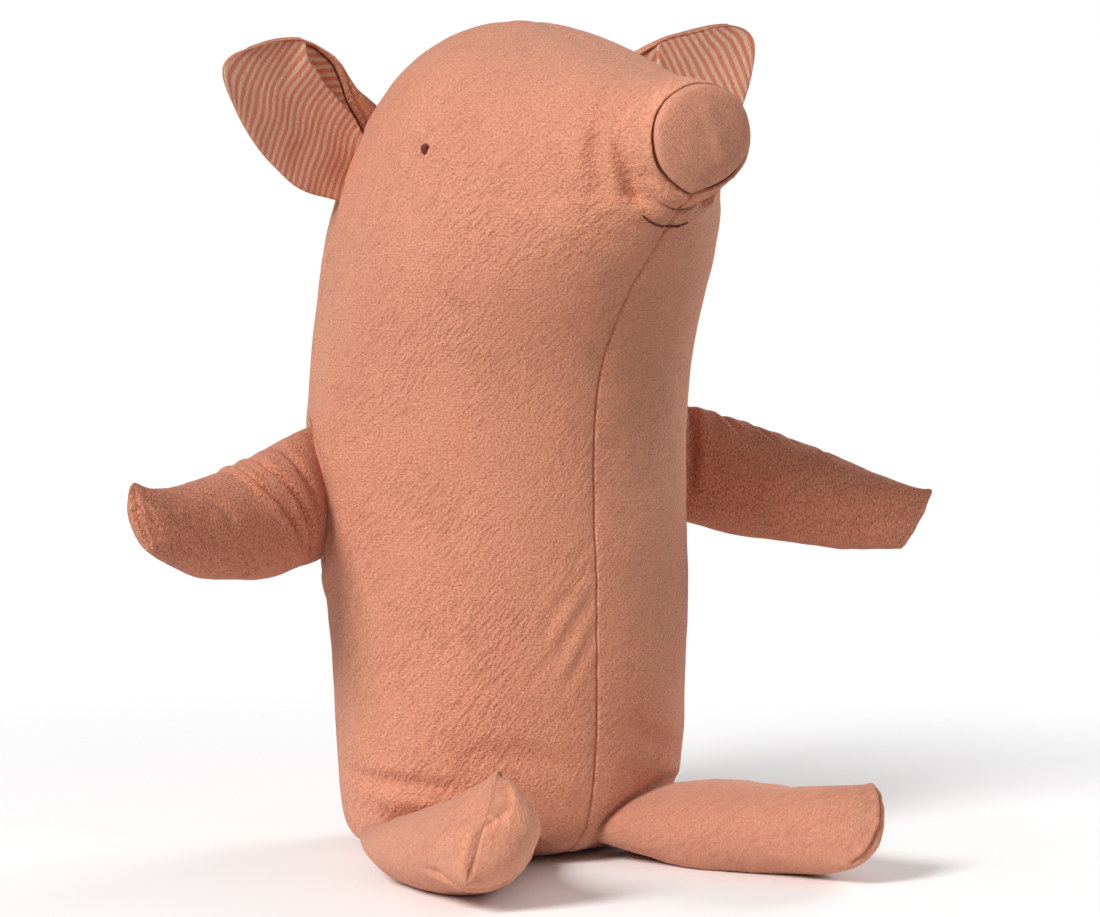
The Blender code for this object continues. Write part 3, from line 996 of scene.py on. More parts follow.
def sewBody(skin):
    rollMuzzle(skin)
    for step in body["seamSteps"]:
        for side in (-1, 1):
            for point, normal in seamPlanes():
                cutAt(skin, (Vector(point) + Vector(normal) * step * side)[:], normal)
    places = spots(skin)
    amounts = np.zeros(len(places))
    for seed, (swell, size) in enumerate((body["lump"], body["smallLump"]), 1):
        amounts += swell * lumps(places, size, seed)
    start, whole = body["seamShown"]
    behindDisc = -toSnout(places)[:, 2]
    shown = np.where(places[:, 2] > snout["middle"][2], np.clip((behindDisc - start) / whole, 0, 1), 1.0)
    for number, plane in enumerate(seamPlanes()):
        away = np.abs(awayFrom(places, plane))
        amounts -= shown * body["seamDepth"] * seamGroove(away)
        amounts -= body["crown"] * np.exp(-away / body["crownReach"])
        ripple = lumps(places, body["puckerLength"], 5 + number)
        amounts += body["pucker"] * ripple * np.exp(-(away / body["puckerReach"]) ** 2)
    push(skin, amounts)
    for points, depth, width, ridge in bodyFolds:
        pressFold(skin, points, depth, width, ridge)
        pressFold(skin, mirrored(points), depth, width, ridge)
    for points, depth, width, ridge in bodyFoldsOneSide:
        pressFold(skin, points, depth, width, ridge)
    swellBody(skin)
    fillChin(skin)


skin = makeBody()
sewBody(skin)
skinTree = BVHTree.FromPolygons([v.co for v in skin.data.vertices], [p.vertices[:] for p in skin.data.polygons])


# limbs: two panels each, sewn along their length and closed by a flat seam at the end

armOutline = {  # along: (reach up, reach down, front thickness, back thickness)
    -0.016: (0.0300, 0.0250, 0.0105, 0.0105),
    0.004: (0.0320, 0.0258, 0.0125, 0.0125),
    0.030: (0.0292, 0.0262, 0.0195, 0.0195),
    0.062: (0.0262, 0.0264, 0.0205, 0.0205),
    0.085: (0.0232, 0.0244, 0.0185, 0.0185),
    0.110: (0.0192, 0.0226, 0.0140, 0.0145),
    0.127: (0.0162, 0.0192, 0.0105, 0.0115),
    0.138: (0.0152, 0.0166, 0.0064, 0.0085),
    0.144: (0.0160, 0.0145, 0.0006, 0.0006),
}
armOutlineRight = {
    **armOutline,
    0.004: (0.0320, 0.0290, 0.0125, 0.0125),
    0.030: (0.0292, 0.0285, 0.0195, 0.0195),
    0.062: (0.0262, 0.0272, 0.0205, 0.0205),
}
legOutline = {
    -0.008: (0.0130, 0.0120, 0.0420, 0.0420),
    0.020: (0.0170, 0.0165, 0.0425, 0.0425),
    0.048: (0.0216, 0.0212, 0.0385, 0.0385),
    0.073: (0.0208, 0.0208, 0.0330, 0.0330),
    0.096: (0.0195, 0.0195, 0.0268, 0.0265),
    0.114: (0.0200, 0.0200, 0.0200, 0.0185),
    0.126: (0.0205, 0.0205, 0.0100, 0.0100),
    0.132: (0.0205, 0.0205, 0.0006, 0.0006),
}
legOutlineRight = {
    **legOutline,
    -0.008: (0.0040, 0.0130, 0.0380, 0.0355),
    0.020: (0.0080, 0.0168, 0.0385, 0.0388),
    0.048: (0.0146, 0.0212, 0.0325, 0.0388),
    0.073: (0.0188, 0.0208, 0.0282, 0.0330),
    0.096: (0.0195, 0.0195, 0.0258, 0.0265),
    0.114: (0.0200, 0.0200, 0.0238, 0.0185),
    0.126: (0.0205, 0.0205, 0.0160, 0.0100),
}
limbs = {
    "arm_right": {
        "side": -1, "outline": armOutlineRight, "root": (0.0846, 0.0250, 0.1655), "swing": 33, "droop": 10,
        "slant": 0.25, "twist": 0, "lift": 0.0240,
        "bulge": (0.0008, 0.0042), "padding": 0.75, "cloth": shadedArmLinen,
        "folds": [  # (along in mm, turn in degrees) points, depth, width, rise of the far side
            ([(45, 25), (49, 8), (53, 345), (55, 330), (53, 312), (49, 288), (44, 262), (38, 240), (32, 225)],
             0.0040, 0.0024, 0.0018),
            ([(60, 30), (64, 12), (69, 345), (71, 330), (70, 312), (65, 292), (58, 270), (50, 250), (43, 232)],
             0.0026, 0.0018, 0.0022),
            ([(30, 20), (32, 2), (35, 335), (36, 308), (34, 280), (31, 255)], 0.0022, 0.0030, 0.0008),
            ([(112, 350), (106, 324), (101, 303), (97, 280)], 0.0018, 0.0030, 0.0008),
            ([(84, 190), (80, 215), (74, 235)], 0.0014, 0.0024, 0.0006),
        ],
    },
    "arm_left": {
        "side": 1, "outline": armOutline, "root": (0.0846, 0.0250, 0.1790), "swing": 27, "droop": 13,
        "slant": 0.25, "twist": 0, "lift": 0.0,
        "bulge": (0.0010, 0.0014), "padding": 0.75, "cloth": shadedArmLinen,
        "folds": [
            ([(20, 15), (22, 350), (24, 320), (27, 285), (30, 245)], 0.0058, 0.0024, 0.0022),
            ([(34, 20), (37, 0), (42, 338), (48, 322)], 0.0018, 0.0018, 0.0008),
            ([(50, 20), (53, 0), (59, 342), (66, 326)], 0.0016, 0.0016, 0.0007),
            ([(66, 16), (69, 0), (76, 340)], 0.0014, 0.0015, 0.0006),
            ([(86, 14), (90, 352), (96, 340)], 0.0010, 0.0018, 0.0004),
            ([(40, 300), (52, 290), (66, 282)], 0.0009, 0.0026, 0.0003),
            ([(118, 200), (122, 225), (121, 250)], 0.0008, 0.0020, 0.0003),
        ],
    },
    "leg_right": {
        "side": -1, "outline": legOutlineRight, "root": (0.0552, -0.0400, 0.0170), "swing": 69, "droop": 0,
        "slant": 0.05, "twist": 16, "lift": 0.0205, "endReach": (0.0262, 0.0235), "bow": 0.0085,
        "bulge": (0.0070, 0.0010), "padding": 0.8, "cloth": legLinen,
        "folds": [
            ([(100, 128), (112, 140), (118, 165), (118, 200), (112, 228), (104, 244)], 0.0020, 0.0018, 0.0010),
            ([(108, 250), (113, 262), (110, 280)], 0.0010, 0.0012, 0.0004),
            ([(101, 255), (105, 270), (103, 288)], 0.0009, 0.0012, 0.0004),
        ],
    },
    "leg_left": {
        "side": 1, "outline": legOutline, "root": (0.0480, -0.0480, 0.0160), "swing": 76, "droop": 0,
        "slant": -0.07, "round": 0.0090, "twist": -30, "lift": 0.0085, "endReach": (0.0215, 0.0158),
        "bulge": (0.0010, 0.0022), "padding": 0.8, "cloth": legLinen,
        "folds": [
            ([(84, 20), (90, 340), (96, 320)], 0.0008, 0.0040, 0.0),
        ],
    },
}
limbMesh = {
    "around": 56, "rings": 76,
    "crowd": 1.25, "past": 1.004,  # the rings crowd towards the end, and the last of them meet there
    "sewnEnd": 0.010, "sewnRoot": 0.012, "lump": (0.0007, 0.022), "smallLump": (0.0003, 0.008),
}
limbStuffing = {"pressure": 2.5, "stiffness": 18.0, "cap": 0.0012}
legEndReach = 0.0205  # what a leg's outline says of its end, before its own endReach


def limbFrame(look):
    side = look["side"]
    sideways, back, up = look["root"]
    swing = Matrix.Rotation(math.radians(-side * look["swing"]), 4, "Z")
    droop = Matrix.Rotation(math.radians(side * look["droop"]), 4, "Y")
    return Matrix.Translation((side * sideways, back, up)) @ swing @ droop


def limbSpot(look, along, turn):
    # a point of the limb's surface and its place on the cloth; turn is 0 at the top and pi/2 at the back
    stations = look["outline"]
    length = list(stations)[-1]
    share = max(0.0, along / length)
    tables = (dict(zip(stations, column)) for column in zip(*stations.values()))
    up, down, front, behind = (between(table, along) for table in tables)
    endShare = min(max((along - 0.8 * length) / (0.2 * length), 0.0), 1.0)
    if "endReach" in look:
        up += (look["endReach"][0] - legEndReach) * share ** 5
        down += (look["endReach"][1] - legEndReach) * share ** 5
    cosine, sine = math.cos(turn), math.sin(turn)
    reach = up if cosine > 0 else down
    high = reach * cosine
    deep = (behind if sine > 0 else front) * sine
    # the panels swell past the seam that joins them
    swell = endShare ** 1.5 * (1 - endShare ** 14)
    along += swell * (look["bulge"][1] if sine > 0 else look["bulge"][0]) * abs(sine) * (1 - 0.3 * abs(cosine))
    deep -= look.get("bow", 0.0) * share ** 6 * math.sin(math.pi * max(high, 0.0) / up)
    spot = Matrix.Rotation(math.radians(look["twist"]) * share ** 2, 3, "X") @ Vector((0, deep, high))
    rounded = look.get("round", 0.0) * (1 - (high / reach) ** 2) * share ** 5
    out = look["side"] * (along + rounded + look["slant"] * high * share ** 3)
    spot += Vector((out, 0, look["lift"] * share ** 3))
    fromTop = abs(math.atan2(sine, cosine))
    cloth = ((up + down + front + behind) / 4 * (math.pi / 2 - fromTop), along)
    return spot, cloth


def measureStrips(ball, places, cloths):
    # the cloth is measured along the limb's own surface, strip by strip
    around = limbMesh["around"]
    turns = np.round(np.arctan2(ball[:, 1], ball[:, 0]) / (2 * math.pi) * around).astype(int) % around
    poles = np.abs(ball[:, 2]) > 0.99999
    for column in range(around):
        strip = np.nonzero((turns == column) & ~poles)[0]
        strip = strip[np.argsort(ball[strip, 2])]
        cloths[strip, 1] = cloths[strip[0], 1] + runLengths(places[strip])[1]
    cloths[poles & (ball[:, 2] > 0), 1] = cloths[:, 1].max()


def makeLimb(nodeName, look):
    bpy.ops.object.select_all(action="DESELECT")
    bpy.ops.mesh.primitive_uv_sphere_add(segments=limbMesh["around"], ring_count=limbMesh["rings"], radius=1)
    piece = bpy.context.object
    piece.name = "skin_" + nodeName
    stations = list(look["outline"])
    start, length = stations[0], stations[-1]
    put = limbFrame(look)
    ball = spots(piece)
    places = ball.copy()
    cloths = np.zeros((len(places), 2))
    held = np.zeros(len(places))
    for index, (x, y, z) in enumerate(ball):
        share = math.acos(max(-1.0, min(1.0, -z))) / math.pi
        share = 1 - (1 - share) ** limbMesh["crowd"]
        along = start + (length - start) * min(1.0, share * limbMesh["past"])
        if share < 1e-6 or share > 1 - 1e-6:  # both poles lie between top and bottom
            spot = (limbSpot(look, along, 0.0)[0] + limbSpot(look, along, math.pi)[0]) / 2
            cloth = (0.0, along)
        else:
            spot, cloth = limbSpot(look, along, math.atan2(y, x))
        places[index] = put @ spot
        cloths[index] = cloth
        atRoot = 1.0 if along < limbMesh["sewnRoot"] else 0.0
        held[index] = max(math.exp(-((length - along) / limbMesh["sewnEnd"]) ** 2), atRoot)
    measureStrips(ball, places, cloths)
    setSpots(piece, places)
    editWhole(piece, "FACE")
    bpy.ops.mesh.normals_make_consistent(inside=False)
    endEdit()
    fill(piece, limbStuffing, held)
    setMap(piece, cloths)
    smoothOut(piece)
    places = spots(piece)
    amounts = np.zeros(len(places))
    firstSeed = 11 + len(nodeName) + look["side"]
    for seed, (swell, size) in enumerate((limbMesh["lump"], limbMesh["smallLump"]), firstSeed):
        amounts += swell * lumps(places, size, seed)
    push(piece, amounts)
    for points, depth, width, rise in look["folds"]:
        line = [put @ limbSpot(look, along / 1000, math.radians(turn))[0] for along, turn in points]
        pressTuck(piece, line, depth, width, rise)
    sewEnd(piece, look, put, length)
    keepOffFloor(piece)
    dress(piece, look["cloth"], [nodeName])
    return piece


endSeam = {
    "points": 25, "depth": 0.0007, "width": 0.0011, "gape": (0.8, 0.25),  # it gapes a little at its top
    "lip": 0.0006, "lipAway": 0.0028, "lipWidth": 0.0016,
    "pucker": 0.0006, "puckerSize": 0.004, "puckerReach": 0.006,
}


def sewEnd(piece, look, put, length):
    # the closing seam: a groove between two lips, drawn in at each stitch
    last = endSeam["points"] - 1
    line = [put @ limbSpot(look, length, math.acos(1 - 2 * step / last))[0] for step in range(last + 1)]
    places = spots(piece)
    away, share = nearestOnRun(places, line)[:2]
    wider, down = endSeam["gape"]
    gape = 1 + wider * np.exp(-(share / down) ** 2)
    amounts = -endSeam["depth"] * gape * np.exp(-(away / endSeam["width"]) ** 2)
    amounts += endSeam["lip"] * np.exp(-((away - endSeam["lipAway"]) / endSeam["lipWidth"]) ** 2)
    pucker = lumps(places, endSeam["puckerSize"], 3)
    amounts += endSeam["pucker"] * pucker * np.exp(-(away / endSeam["puckerReach"]) ** 2)
    push(piece, amounts)


limbPieces = {nodeName: makeLimb(nodeName, look) for nodeName, look in limbs.items()}
limbDip = {"depth": 0.0028, "reach": 0.0038}


def pressBodyAtLimbs():
    # the skin dips where a limb is sewn to it
    limbSpots = np.concatenate([spots(piece) for piece in limbPieces.values()])
    tree = kdtree.KDTree(len(limbSpots))
    for index, spot in enumerate(limbSpots):
        tree.insert(Vector(spot), index)
    tree.balance()
    away = np.array([tree.find(Vector(spot))[2] for spot in spots(skin)])
    push(skin, -limbDip["depth"] * np.exp(-(away / limbDip["reach"]) ** 2))
    keepOffFloor(skin)


pressBodyAtLimbs()
dress(skin, linen, ["head", "trunk"])


# snout disc

pad = {
    "around": 96, "rings": 21, "ringStep": 1 / 22.5,
    "wide": {0.0: 0.0, 0.74: 0.80, 0.80: 0.872, 0.86: 0.944, 0.91: 0.995, 0.955: 1.018, 1.0: 0.995},
    "high": {0.0: 0.0052, 0.35: 0.0050, 0.62: 0.0043, 0.78: 0.0035, 0.86: 0.0026, 0.91: 0.0016, 0.955: 0.0000,
             1.0: -0.0020},
    "back": (0.97, -0.0030),  # the width and the height of the back's edge
    "overhang": 0.985, "overhangTurn": 0.6,
    # where the seam lies open the rim draws in and down: the most, where it starts and how soon it is whole
    "openIn": (0.014, 0.80, 0.12), "openDown": (0.0022, 0.50, 0.38),
    "middleReach": 0.0240, "middleShare": 0.6,  # towards its middle the pad's outline is rounder
    "lump": 0.0005, "lumpSize": 0.011,
    "fold": 0.0007, "foldWidth": 0.0035, "foldPath": (0.86, 0.50, 0.004),
    "mapReach": 0.0236, "mapTurn": 0.785, "mapSteps": 80,
}


def discGrid():
    # a round pad whose front is cut into rings
    bpy.ops.object.select_all(action="DESELECT")
    bpy.ops.mesh.primitive_circle_add(vertices=pad["around"], radius=1, fill_type="NGON")
    disc = bpy.context.object
    disc.name = "snoutDisc"
    bpy.ops.object.mode_set(mode="EDIT")
    bpy.ops.mesh.select_all(action="SELECT")
    bpy.ops.mesh.extrude_region_move(TRANSFORM_OT_translate={"value": (0, 0, -1)})
    bpy.ops.mesh.select_all(action="SELECT")
    bpy.ops.mesh.normals_make_consistent(inside=False)
    endEdit()
    for polygon in disc.data.polygons:
        polygon.select = polygon.normal.z > 0.9
    startEdit(disc, "FACE")
    for step in range(pad["rings"]):
        bpy.ops.mesh.inset(thickness=pad["ringStep"], depth=0.0)
    endEdit()
    return disc


def makeDisc():
    disc = discGrid()
    places = spots(disc)
    share = np.clip(np.linalg.norm(places[:, :2], axis=1), 0, 1)
    angle = np.arctan2(places[:, 1], places[:, 0])
    top = places[:, 2] > -0.5
    wide = np.array([between(pad["wide"], part) for part in share])
    high = np.array([between(pad["high"], part) for part in share])
    # the rim stands out on top and lies back at the chin, where the seam shows
    wide -= np.maximum(wide - pad["overhang"], 0) * (0.5 - 0.5 * np.sin(angle + pad["overhangTurn"]))
    for change, values in (("openIn", wide), ("openDown", high)):
        most, start, fade = pad[change]
        values -= most * rimOpen(angle) * np.clip((share - start) / fade, 0, 1)
    wide[~top], high[~top] = pad["back"]
    reach = discReach(angle)
    reach = reach + (pad["middleReach"] - reach) * (1 - share) * pad["middleShare"]
    places[:, 0] = np.cos(angle) * reach * wide
    places[:, 1] = np.sin(angle) * reach * wide
    places[:, 2] = high
    places[top, 2] += pad["lump"] * lumps(places[top], pad["lumpSize"], 21) * (1 - share[top] ** 4)
    # a soft fold from the top towards the lower left of the toy
    sideways, upward, shift = pad["foldPath"]
    fold = np.abs(places[:, 0] * sideways + places[:, 1] * upward - shift)
    places[top, 2] += (pad["fold"] * np.exp(-(fold / pad["foldWidth"]) ** 2) * (1 - share ** 3))[top]
    setSpots(disc, places)
    # the cloth is measured along the pad's own curve, so that it isn't stretched over the rim
    steps = np.linspace(0, 1, pad["mapSteps"])
    profile = [(between(pad["wide"], part) * pad["mapReach"], between(pad["high"], part)) for part in steps]
    run = np.interp(share, steps, runLengths(np.array(profile))[1])
    mapAngle = angle - pad["mapTurn"]
    setMap(disc, np.stack([np.cos(mapAngle) * run, np.sin(mapAngle) * run], axis=1))
    smoothOut(disc)
    disc.data.transform(snoutPlace())
    dress(disc, litDiscLinen, ["snout_disc"])


makeDisc()


# threads

def tube(name, runs, radius, sides):
    # closed round threads along runs of points, as one mesh
    curve = bpy.data.curves.new(name, "CURVE")
    curve.dimensions = "3D"
    curve.bevel_depth = radius
    curve.bevel_resolution = sides // 2 - 2
    curve.use_fill_caps = True
    for points in runs:
        spline = curve.splines.new("POLY")
        spline.points.add(len(points) - 1)
        for spot, point in zip(spline.points, points):
            spot.co = (*point, 1)
    line = bpy.data.objects.new(name, curve)
    scene.collection.objects.link(line)
    onlySelect(line)
    bpy.ops.object.convert(target="MESH")
    made = bpy.context.object
    editWhole(made)
    bpy.ops.mesh.remove_doubles(threshold=radius / 60)
    bpy.ops.mesh.normals_make_consistent(inside=False)
    endEdit()
    return made


def snapOut(spot, lift):
    # the nearest point of the skin, lifted off it
    near, normal = skinTree.find_nearest(Vector(spot))[:2]
    return near + normal * lift


def twisted(points, radius, pitch):
    # two plies that wind round each other along points
    runs = []
    for ply in (0, 1):
        run = []
        length = 0.0
        for index, point in enumerate(points):
            before, after = points[max(index - 1, 0)], points[min(index + 1, len(points) - 1)]
            along = (after - before).normalized()
            side = along.orthogonal().normalized()
            if index:
                length += (point - points[index - 1]).length
            turn = 2 * math.pi * length / pitch + math.pi * ply
            run.append(point + Matrix.Rotation(turn, 3, along) @ side * radius * 0.5)
        runs.append(run)
    return runs


mouth = {
    "line": [(-0.0151, -0.1464, 0.2910), (-0.0110, -0.1451, 0.2891), (-0.0065, -0.1444, 0.2872),
             (-0.0003, -0.1438, 0.2867), (0.0048, -0.1441, 0.2876), (0.0094, -0.1447, 0.2892)],
    "points": 61, "lift": 0.0002, "average": 4, "ply": 0.00031, "twist": 0.0085, "thicker": 1.3,
    "under": (0, -0.0001, -0.0004), "underParts": ((8, 32), (35, 50)),  # it is broken at the middle seam
    "goIn": -0.0015,
}
threadSides = 6


def smoothRun(points, count):
    # evenly spread points on a smooth run through points
    tables = [dict(enumerate(values)) for values in zip(*points)]
    last = len(points) - 1
    return [Vector([between(table, last * step / (count - 1)) for table in tables]) for step in range(count)]


def averaged(points, reach):
    groups = [points[max(0, index - reach):index + reach + 1] for index in range(len(points))]
    return [sum(group, Vector()) / len(group) for group in groups]


def makeMouth():
    points = [snapOut(point, mouth["lift"]) for point in smoothRun(mouth["line"], mouth["points"])]
    points = averaged(points, mouth["average"])
    runs = twisted(points, mouth["ply"] * mouth["thicker"], mouth["twist"])
    for first, last in mouth["underParts"]:  # a second stitch under the first
        under = [point + Vector(mouth["under"]) for point in points[first:last]]
        runs += twisted(under, mouth["ply"], mouth["twist"])
    for last, inner in ((0, 1), (-1, -2)):  # both ends go in through the cloth
        beyond = points[last] + (points[last] - points[inner]) * 2
        runs.append([points[last], snapOut(beyond, mouth["goIn"])])
    stitch = tube("mouthStitch", runs, mouth["ply"], threadSides)
    dress(stitch, thread, ["mouth_stitch"])


discSeam = {"points": 145, "thread": 0.00028, "wander": 0.00025, "height": -0.0011, "rise": 0.0007}


def makeDiscSeam():
    # the sewing thread that shows in the disc's seam, nearer to the front where the seam lies open; the dark
    # tube also stands in for the shade in the seam's groove, as painted shade
    ring = []
    for step in range(discSeam["points"]):
        angle = 2 * math.pi * step / (discSeam["points"] - 1)
        cosine, sine = math.cos(angle), math.sin(angle)
        radius = float(discReach(angle)) + discSeam["wander"] * noise.noise(Vector((cosine, sine, 0)) * 4)
        opened = float(rimOpen(angle if angle < math.pi else angle - 2 * math.pi))
        height = discSeam["height"] + discSeam["rise"] * opened
        ring.append(snoutPlace() @ Vector((cosine * radius, sine * radius, height)))
    seam = tube("snoutSeam", [ring], discSeam["thread"], threadSides)
    dress(seam, thread, None)


eye = {
    "spot": (0.0727, -0.0564, 0.3214), "size": 0.0018, "radius": 0.00064,
    "runs": ((0.3, 1.0), (1.9, 0.66), (3.6, 0.32)),  # where each loop of the knot starts, and its size
    "points": 19, "perTurn": 15, "shrink": 0.018, "wide": 0.84, "lopsided": 0.30, "tall": 1.15,
    "off": 0.0003, "lift": 0.0004, "rise": 0.00006,
}


def makeEye(name, side, nodeName):
    sideways, back, up = eye["spot"]
    centre = snapOut((side * sideways, back, up), eye["off"])
    normal = skinTree.find_nearest(centre)[1]
    upright = (Vector((0, 0, 1)) - normal * normal.z).normalized()
    across = upright.cross(normal)
    runs = []
    for turnStart, size in eye["runs"]:
        run = []
        for step in range(eye["points"]):
            turn = turnStart + 2 * math.pi * step / eye["perTurn"]
            swell = eye["size"] * size * (1 - eye["shrink"] * step)
            wide = swell * math.cos(turn) * (eye["wide"] + eye["lopsided"] * math.sin(turn))
            tall = swell * eye["tall"] * math.sin(turn)
            run.append(centre + across * wide + upright * tall + normal * (eye["lift"] + eye["rise"] * step))
        runs.append(run)
    knot = tube(name, runs, eye["radius"], threadSides)
    dress(knot, thread, [nodeName])


makeMouth()
makeDiscSeam()
makeEye("eyeKnot_right", -1, "eye_right")
makeEye("eyeKnot_left", 1, "eye_left")


# ears: a striped lining and a plain back sewn together, folded over on themselves at the root

ear = {
    "sweep": math.radians(12.6), "rows": 60, "start": -0.006, "wall": 0.0007, "backAway": 0.00105,
    "foldDepth": 0.0030,  # where the strip lies this deep, the front panel is fully folded over
    "bow": (0.0040, 0.55), "lip": 0.0012,  # the front panel bows back, less at the tip; its edge curls back
    "crestBack": 0.0010, "crestRound": 0.0009, "hidden": 0.0052, "deeper": 0.0018, "stripSwell": 0.00048,
    "creaseAway": 0.0045, "puffs": (0.0013, 0.0011), "creaseDown": 0.0006, "bandCurl": 0.0008,
    "gap": (0.0006, 0.0018), "edgeGap": 0.0003, "rollOut": 0.0008, "backMap": 0.06,
    "ripple": 0.0007, "rippleSize": 0.014, "wave": 0.0007, "waveSize": 0.010,
    "bendFrom": 0.068, "bendFade": 0.014, "stripPitch": 0.89,
    "thread": 0.00016, "stitchPoints": 4, "stitchOver": 0.25,
}
earSides = {  # edges are read along the ear, from its root to its tip
    "right": {
        "side": -1, "root": (0.0669, 0.0169, 0.3220), "lift": math.radians(24), "lean": math.radians(2),
        "tip": 0.0768, "tipRound": 0.0074,
        "lower": {-0.006: 0.0235, 0.005: 0.0257, 0.0183: 0.0289, 0.0275: 0.0292, 0.0406: 0.0264,
                  0.0550: 0.0219, 0.0672: 0.0150, 0.0768: 0.0078},
        "upper": {-0.006: 0.0262, 0.0013: 0.0274, 0.0076: 0.0284, 0.0150: 0.0320, 0.0211: 0.0352,
                  0.0266: 0.0362, 0.0354: 0.0360, 0.0424: 0.0350, 0.0530: 0.0313, 0.0653: 0.0241,
                  0.0768: 0.0142},
        "crest": {-0.006: 0.0040, 0.002: 0.0074, 0.0094: 0.0120, 0.0175: 0.0143, 0.0250: 0.0168,
                  0.0316: 0.0186, 0.0366: 0.0212, 0.0431: 0.0236, 0.0462: 0.0262, 0.0484: 0.0306,
                  0.0520: 0.0345, 0.0900: 0.0400},
        "rim": {-0.006: 0.0080, 0.0018: 0.0143, 0.0069: 0.0175, 0.0130: 0.0212, 0.0166: 0.0254,
                0.0213: 0.0296, 0.0243: 0.0320, 0.0297: 0.0336, 0.0360: 0.0342, 0.0425: 0.0345,
                0.0900: 0.0400},
        "depth": {-0.006: 0.0056, 0.010: 0.0060, 0.025: 0.0068, 0.036: 0.0062, 0.043: 0.0050,
                  0.0475: 0.0032, 0.0510: 0.0008, 0.054: 0.0, 0.09: 0.0},
        "bend": {-0.029: -0.0010, -0.021: -0.0012, -0.006: 0.0004, 0.0065: -0.0021, 0.0175: 0.0,
                 0.028: 0.0021, 0.036: 0.0036},
        "tipLean": 0.096, "stripLean": -0.46, "threadEnd": 0.0470,
    },
    "left": {
        "side": 1, "root": (0.0725, 0.0160, 0.3285), "lift": math.radians(37), "lean": math.radians(-6),
        "tip": 0.0790, "tipRound": 0.0070,
        "lower": {-0.006: 0.0235, 0.005: 0.0257, 0.0183: 0.0289, 0.0275: 0.0296, 0.0406: 0.0290,
                  0.0550: 0.0262, 0.0684: 0.0179, 0.0742: 0.0132, 0.0790: 0.0086},
        "upper": {-0.006: 0.0262, 0.0013: 0.0268, 0.0076: 0.0275, 0.0150: 0.0290, 0.0211: 0.0300,
                  0.0300: 0.0296, 0.0417: 0.0283, 0.0483: 0.0271, 0.0563: 0.0241, 0.0637: 0.0211,
                  0.0727: 0.0170, 0.0790: 0.0130},
        "crest": {-0.006: 0.0040, 0.002: 0.0070, 0.0094: 0.0110, 0.0250: 0.0150, 0.0330: 0.0168,
                  0.0390: 0.0196, 0.0425: 0.0250, 0.0450: 0.0290, 0.0900: 0.0400},
        "rim": {-0.006: 0.0080, 0.0018: 0.0143, 0.0130: 0.0205, 0.0213: 0.0250, 0.0297: 0.0270,
                0.0360: 0.0276, 0.0425: 0.0280, 0.0900: 0.0400},
        "depth": {-0.006: 0.0085, 0.010: 0.0085, 0.025: 0.0070, 0.034: 0.0056, 0.040: 0.0040,
                  0.0435: 0.0014, 0.047: 0.0, 0.09: 0.0},
        "bend": {-0.03: 0.0006, 0.0: 0.0, 0.03: -0.0006},
        "tipLean": 0.0, "stripLean": -0.46, "threadEnd": 0.0400,
    },
}
earColumns = {"panel": 18, "turn": 6, "under": 6, "strip": 9, "band": 10, "roll": 5}


def earSection(look, share):
    # one cut across the ear: where its edges, its crest and the rim of its strip lie
    along = ear["start"] + (look["tip"] - ear["start"]) * share
    lower, upper, depth = (between(look[edge], along) for edge in ("lower", "upper", "depth"))
    fold = min(1.0, depth / ear["foldDepth"])
    crest = min(between(look["crest"], along), upper - 0.0012 - 0.0014 * fold)
    rim = max(min(between(look["rim"], along), upper - 0.0003 - 0.0009 * fold), crest + 0.0004)
    return along, lower, upper, depth, fold, crest, rim


def earPath(look, share):
    # (up, back, kind) stations: kind 0 is the front panel, 1 the fold and the strip behind it, 2 the band
    along, lower, upper, depth, fold, crest, rim = earSection(look, share)
    crestBack = -ear["crestBack"] * fold
    path = []
    for step in range(earColumns["panel"]):
        part = step / earColumns["panel"]
        bow = ear["bow"][0] * math.sin(math.pi * part) * (1 - ear["bow"][1] * share)
        deep = bow + ear["lip"] * (1 - part) ** 6 + crestBack * part ** 5
        path.append((-lower + (crest + lower) * part, deep, 0))
    radius = ear["crestRound"] * fold + 0.00005
    for step in range(earColumns["turn"]):
        turn = math.pi * step / earColumns["turn"]
        path.append((crest + radius * math.sin(turn), crestBack + radius * (1 - math.cos(turn)), 0))
    hidden = ear["hidden"] * fold  # how far down behind the crest the strip starts
    start = crestBack + 2 * radius
    deeper = ear["deeper"] * fold
    for step in range(earColumns["under"]):
        part = step / earColumns["under"]
        deep = start + (depth + deeper - start) * part ** 1.3
        path.append((crest - hidden * math.sin(part * math.pi / 2), deep, 1))
    low = crest - hidden
    for step in range(earColumns["strip"]):
        part = step / earColumns["strip"]
        swell = ear["stripSwell"] * fold * math.sin(math.pi * part)
        path.append((low + (rim - low) * part, depth + deeper * (1 - part) ** 2 - swell, 1))
    # where the band is wide, a crease beside the rim parts it in two
    crease = min(1.0, ear["creaseAway"] / max(upper - rim, 1e-6))
    for step in range(earColumns["band"] + 1):
        part = step / earColumns["band"]
        if part <= crease:
            puff = ear["puffs"][0] * math.sin(math.pi * part / crease)
        else:
            puff = ear["puffs"][1] * math.sin(math.pi * (part - crease) / (1 - crease)) - ear["creaseDown"]
        deep = depth - puff * (0.25 + 0.75 * fold) + ear["bandCurl"] * part ** 2
        path.append((rim + (upper - rim) * part, deep, 2))
    return along, fold, path


def earOut(look, share, path, along, high):
    # the way out from the root: the tip is rounder than the ear's last cut
    low, top = path[0][0], path[-1][0]
    across = -1 + 2 * (high - low) / max(top - low, 1e-6)
    return look["side"] * (along + look["tipRound"] * (1 - min(1.0, abs(across)) ** 2) * share ** 5)


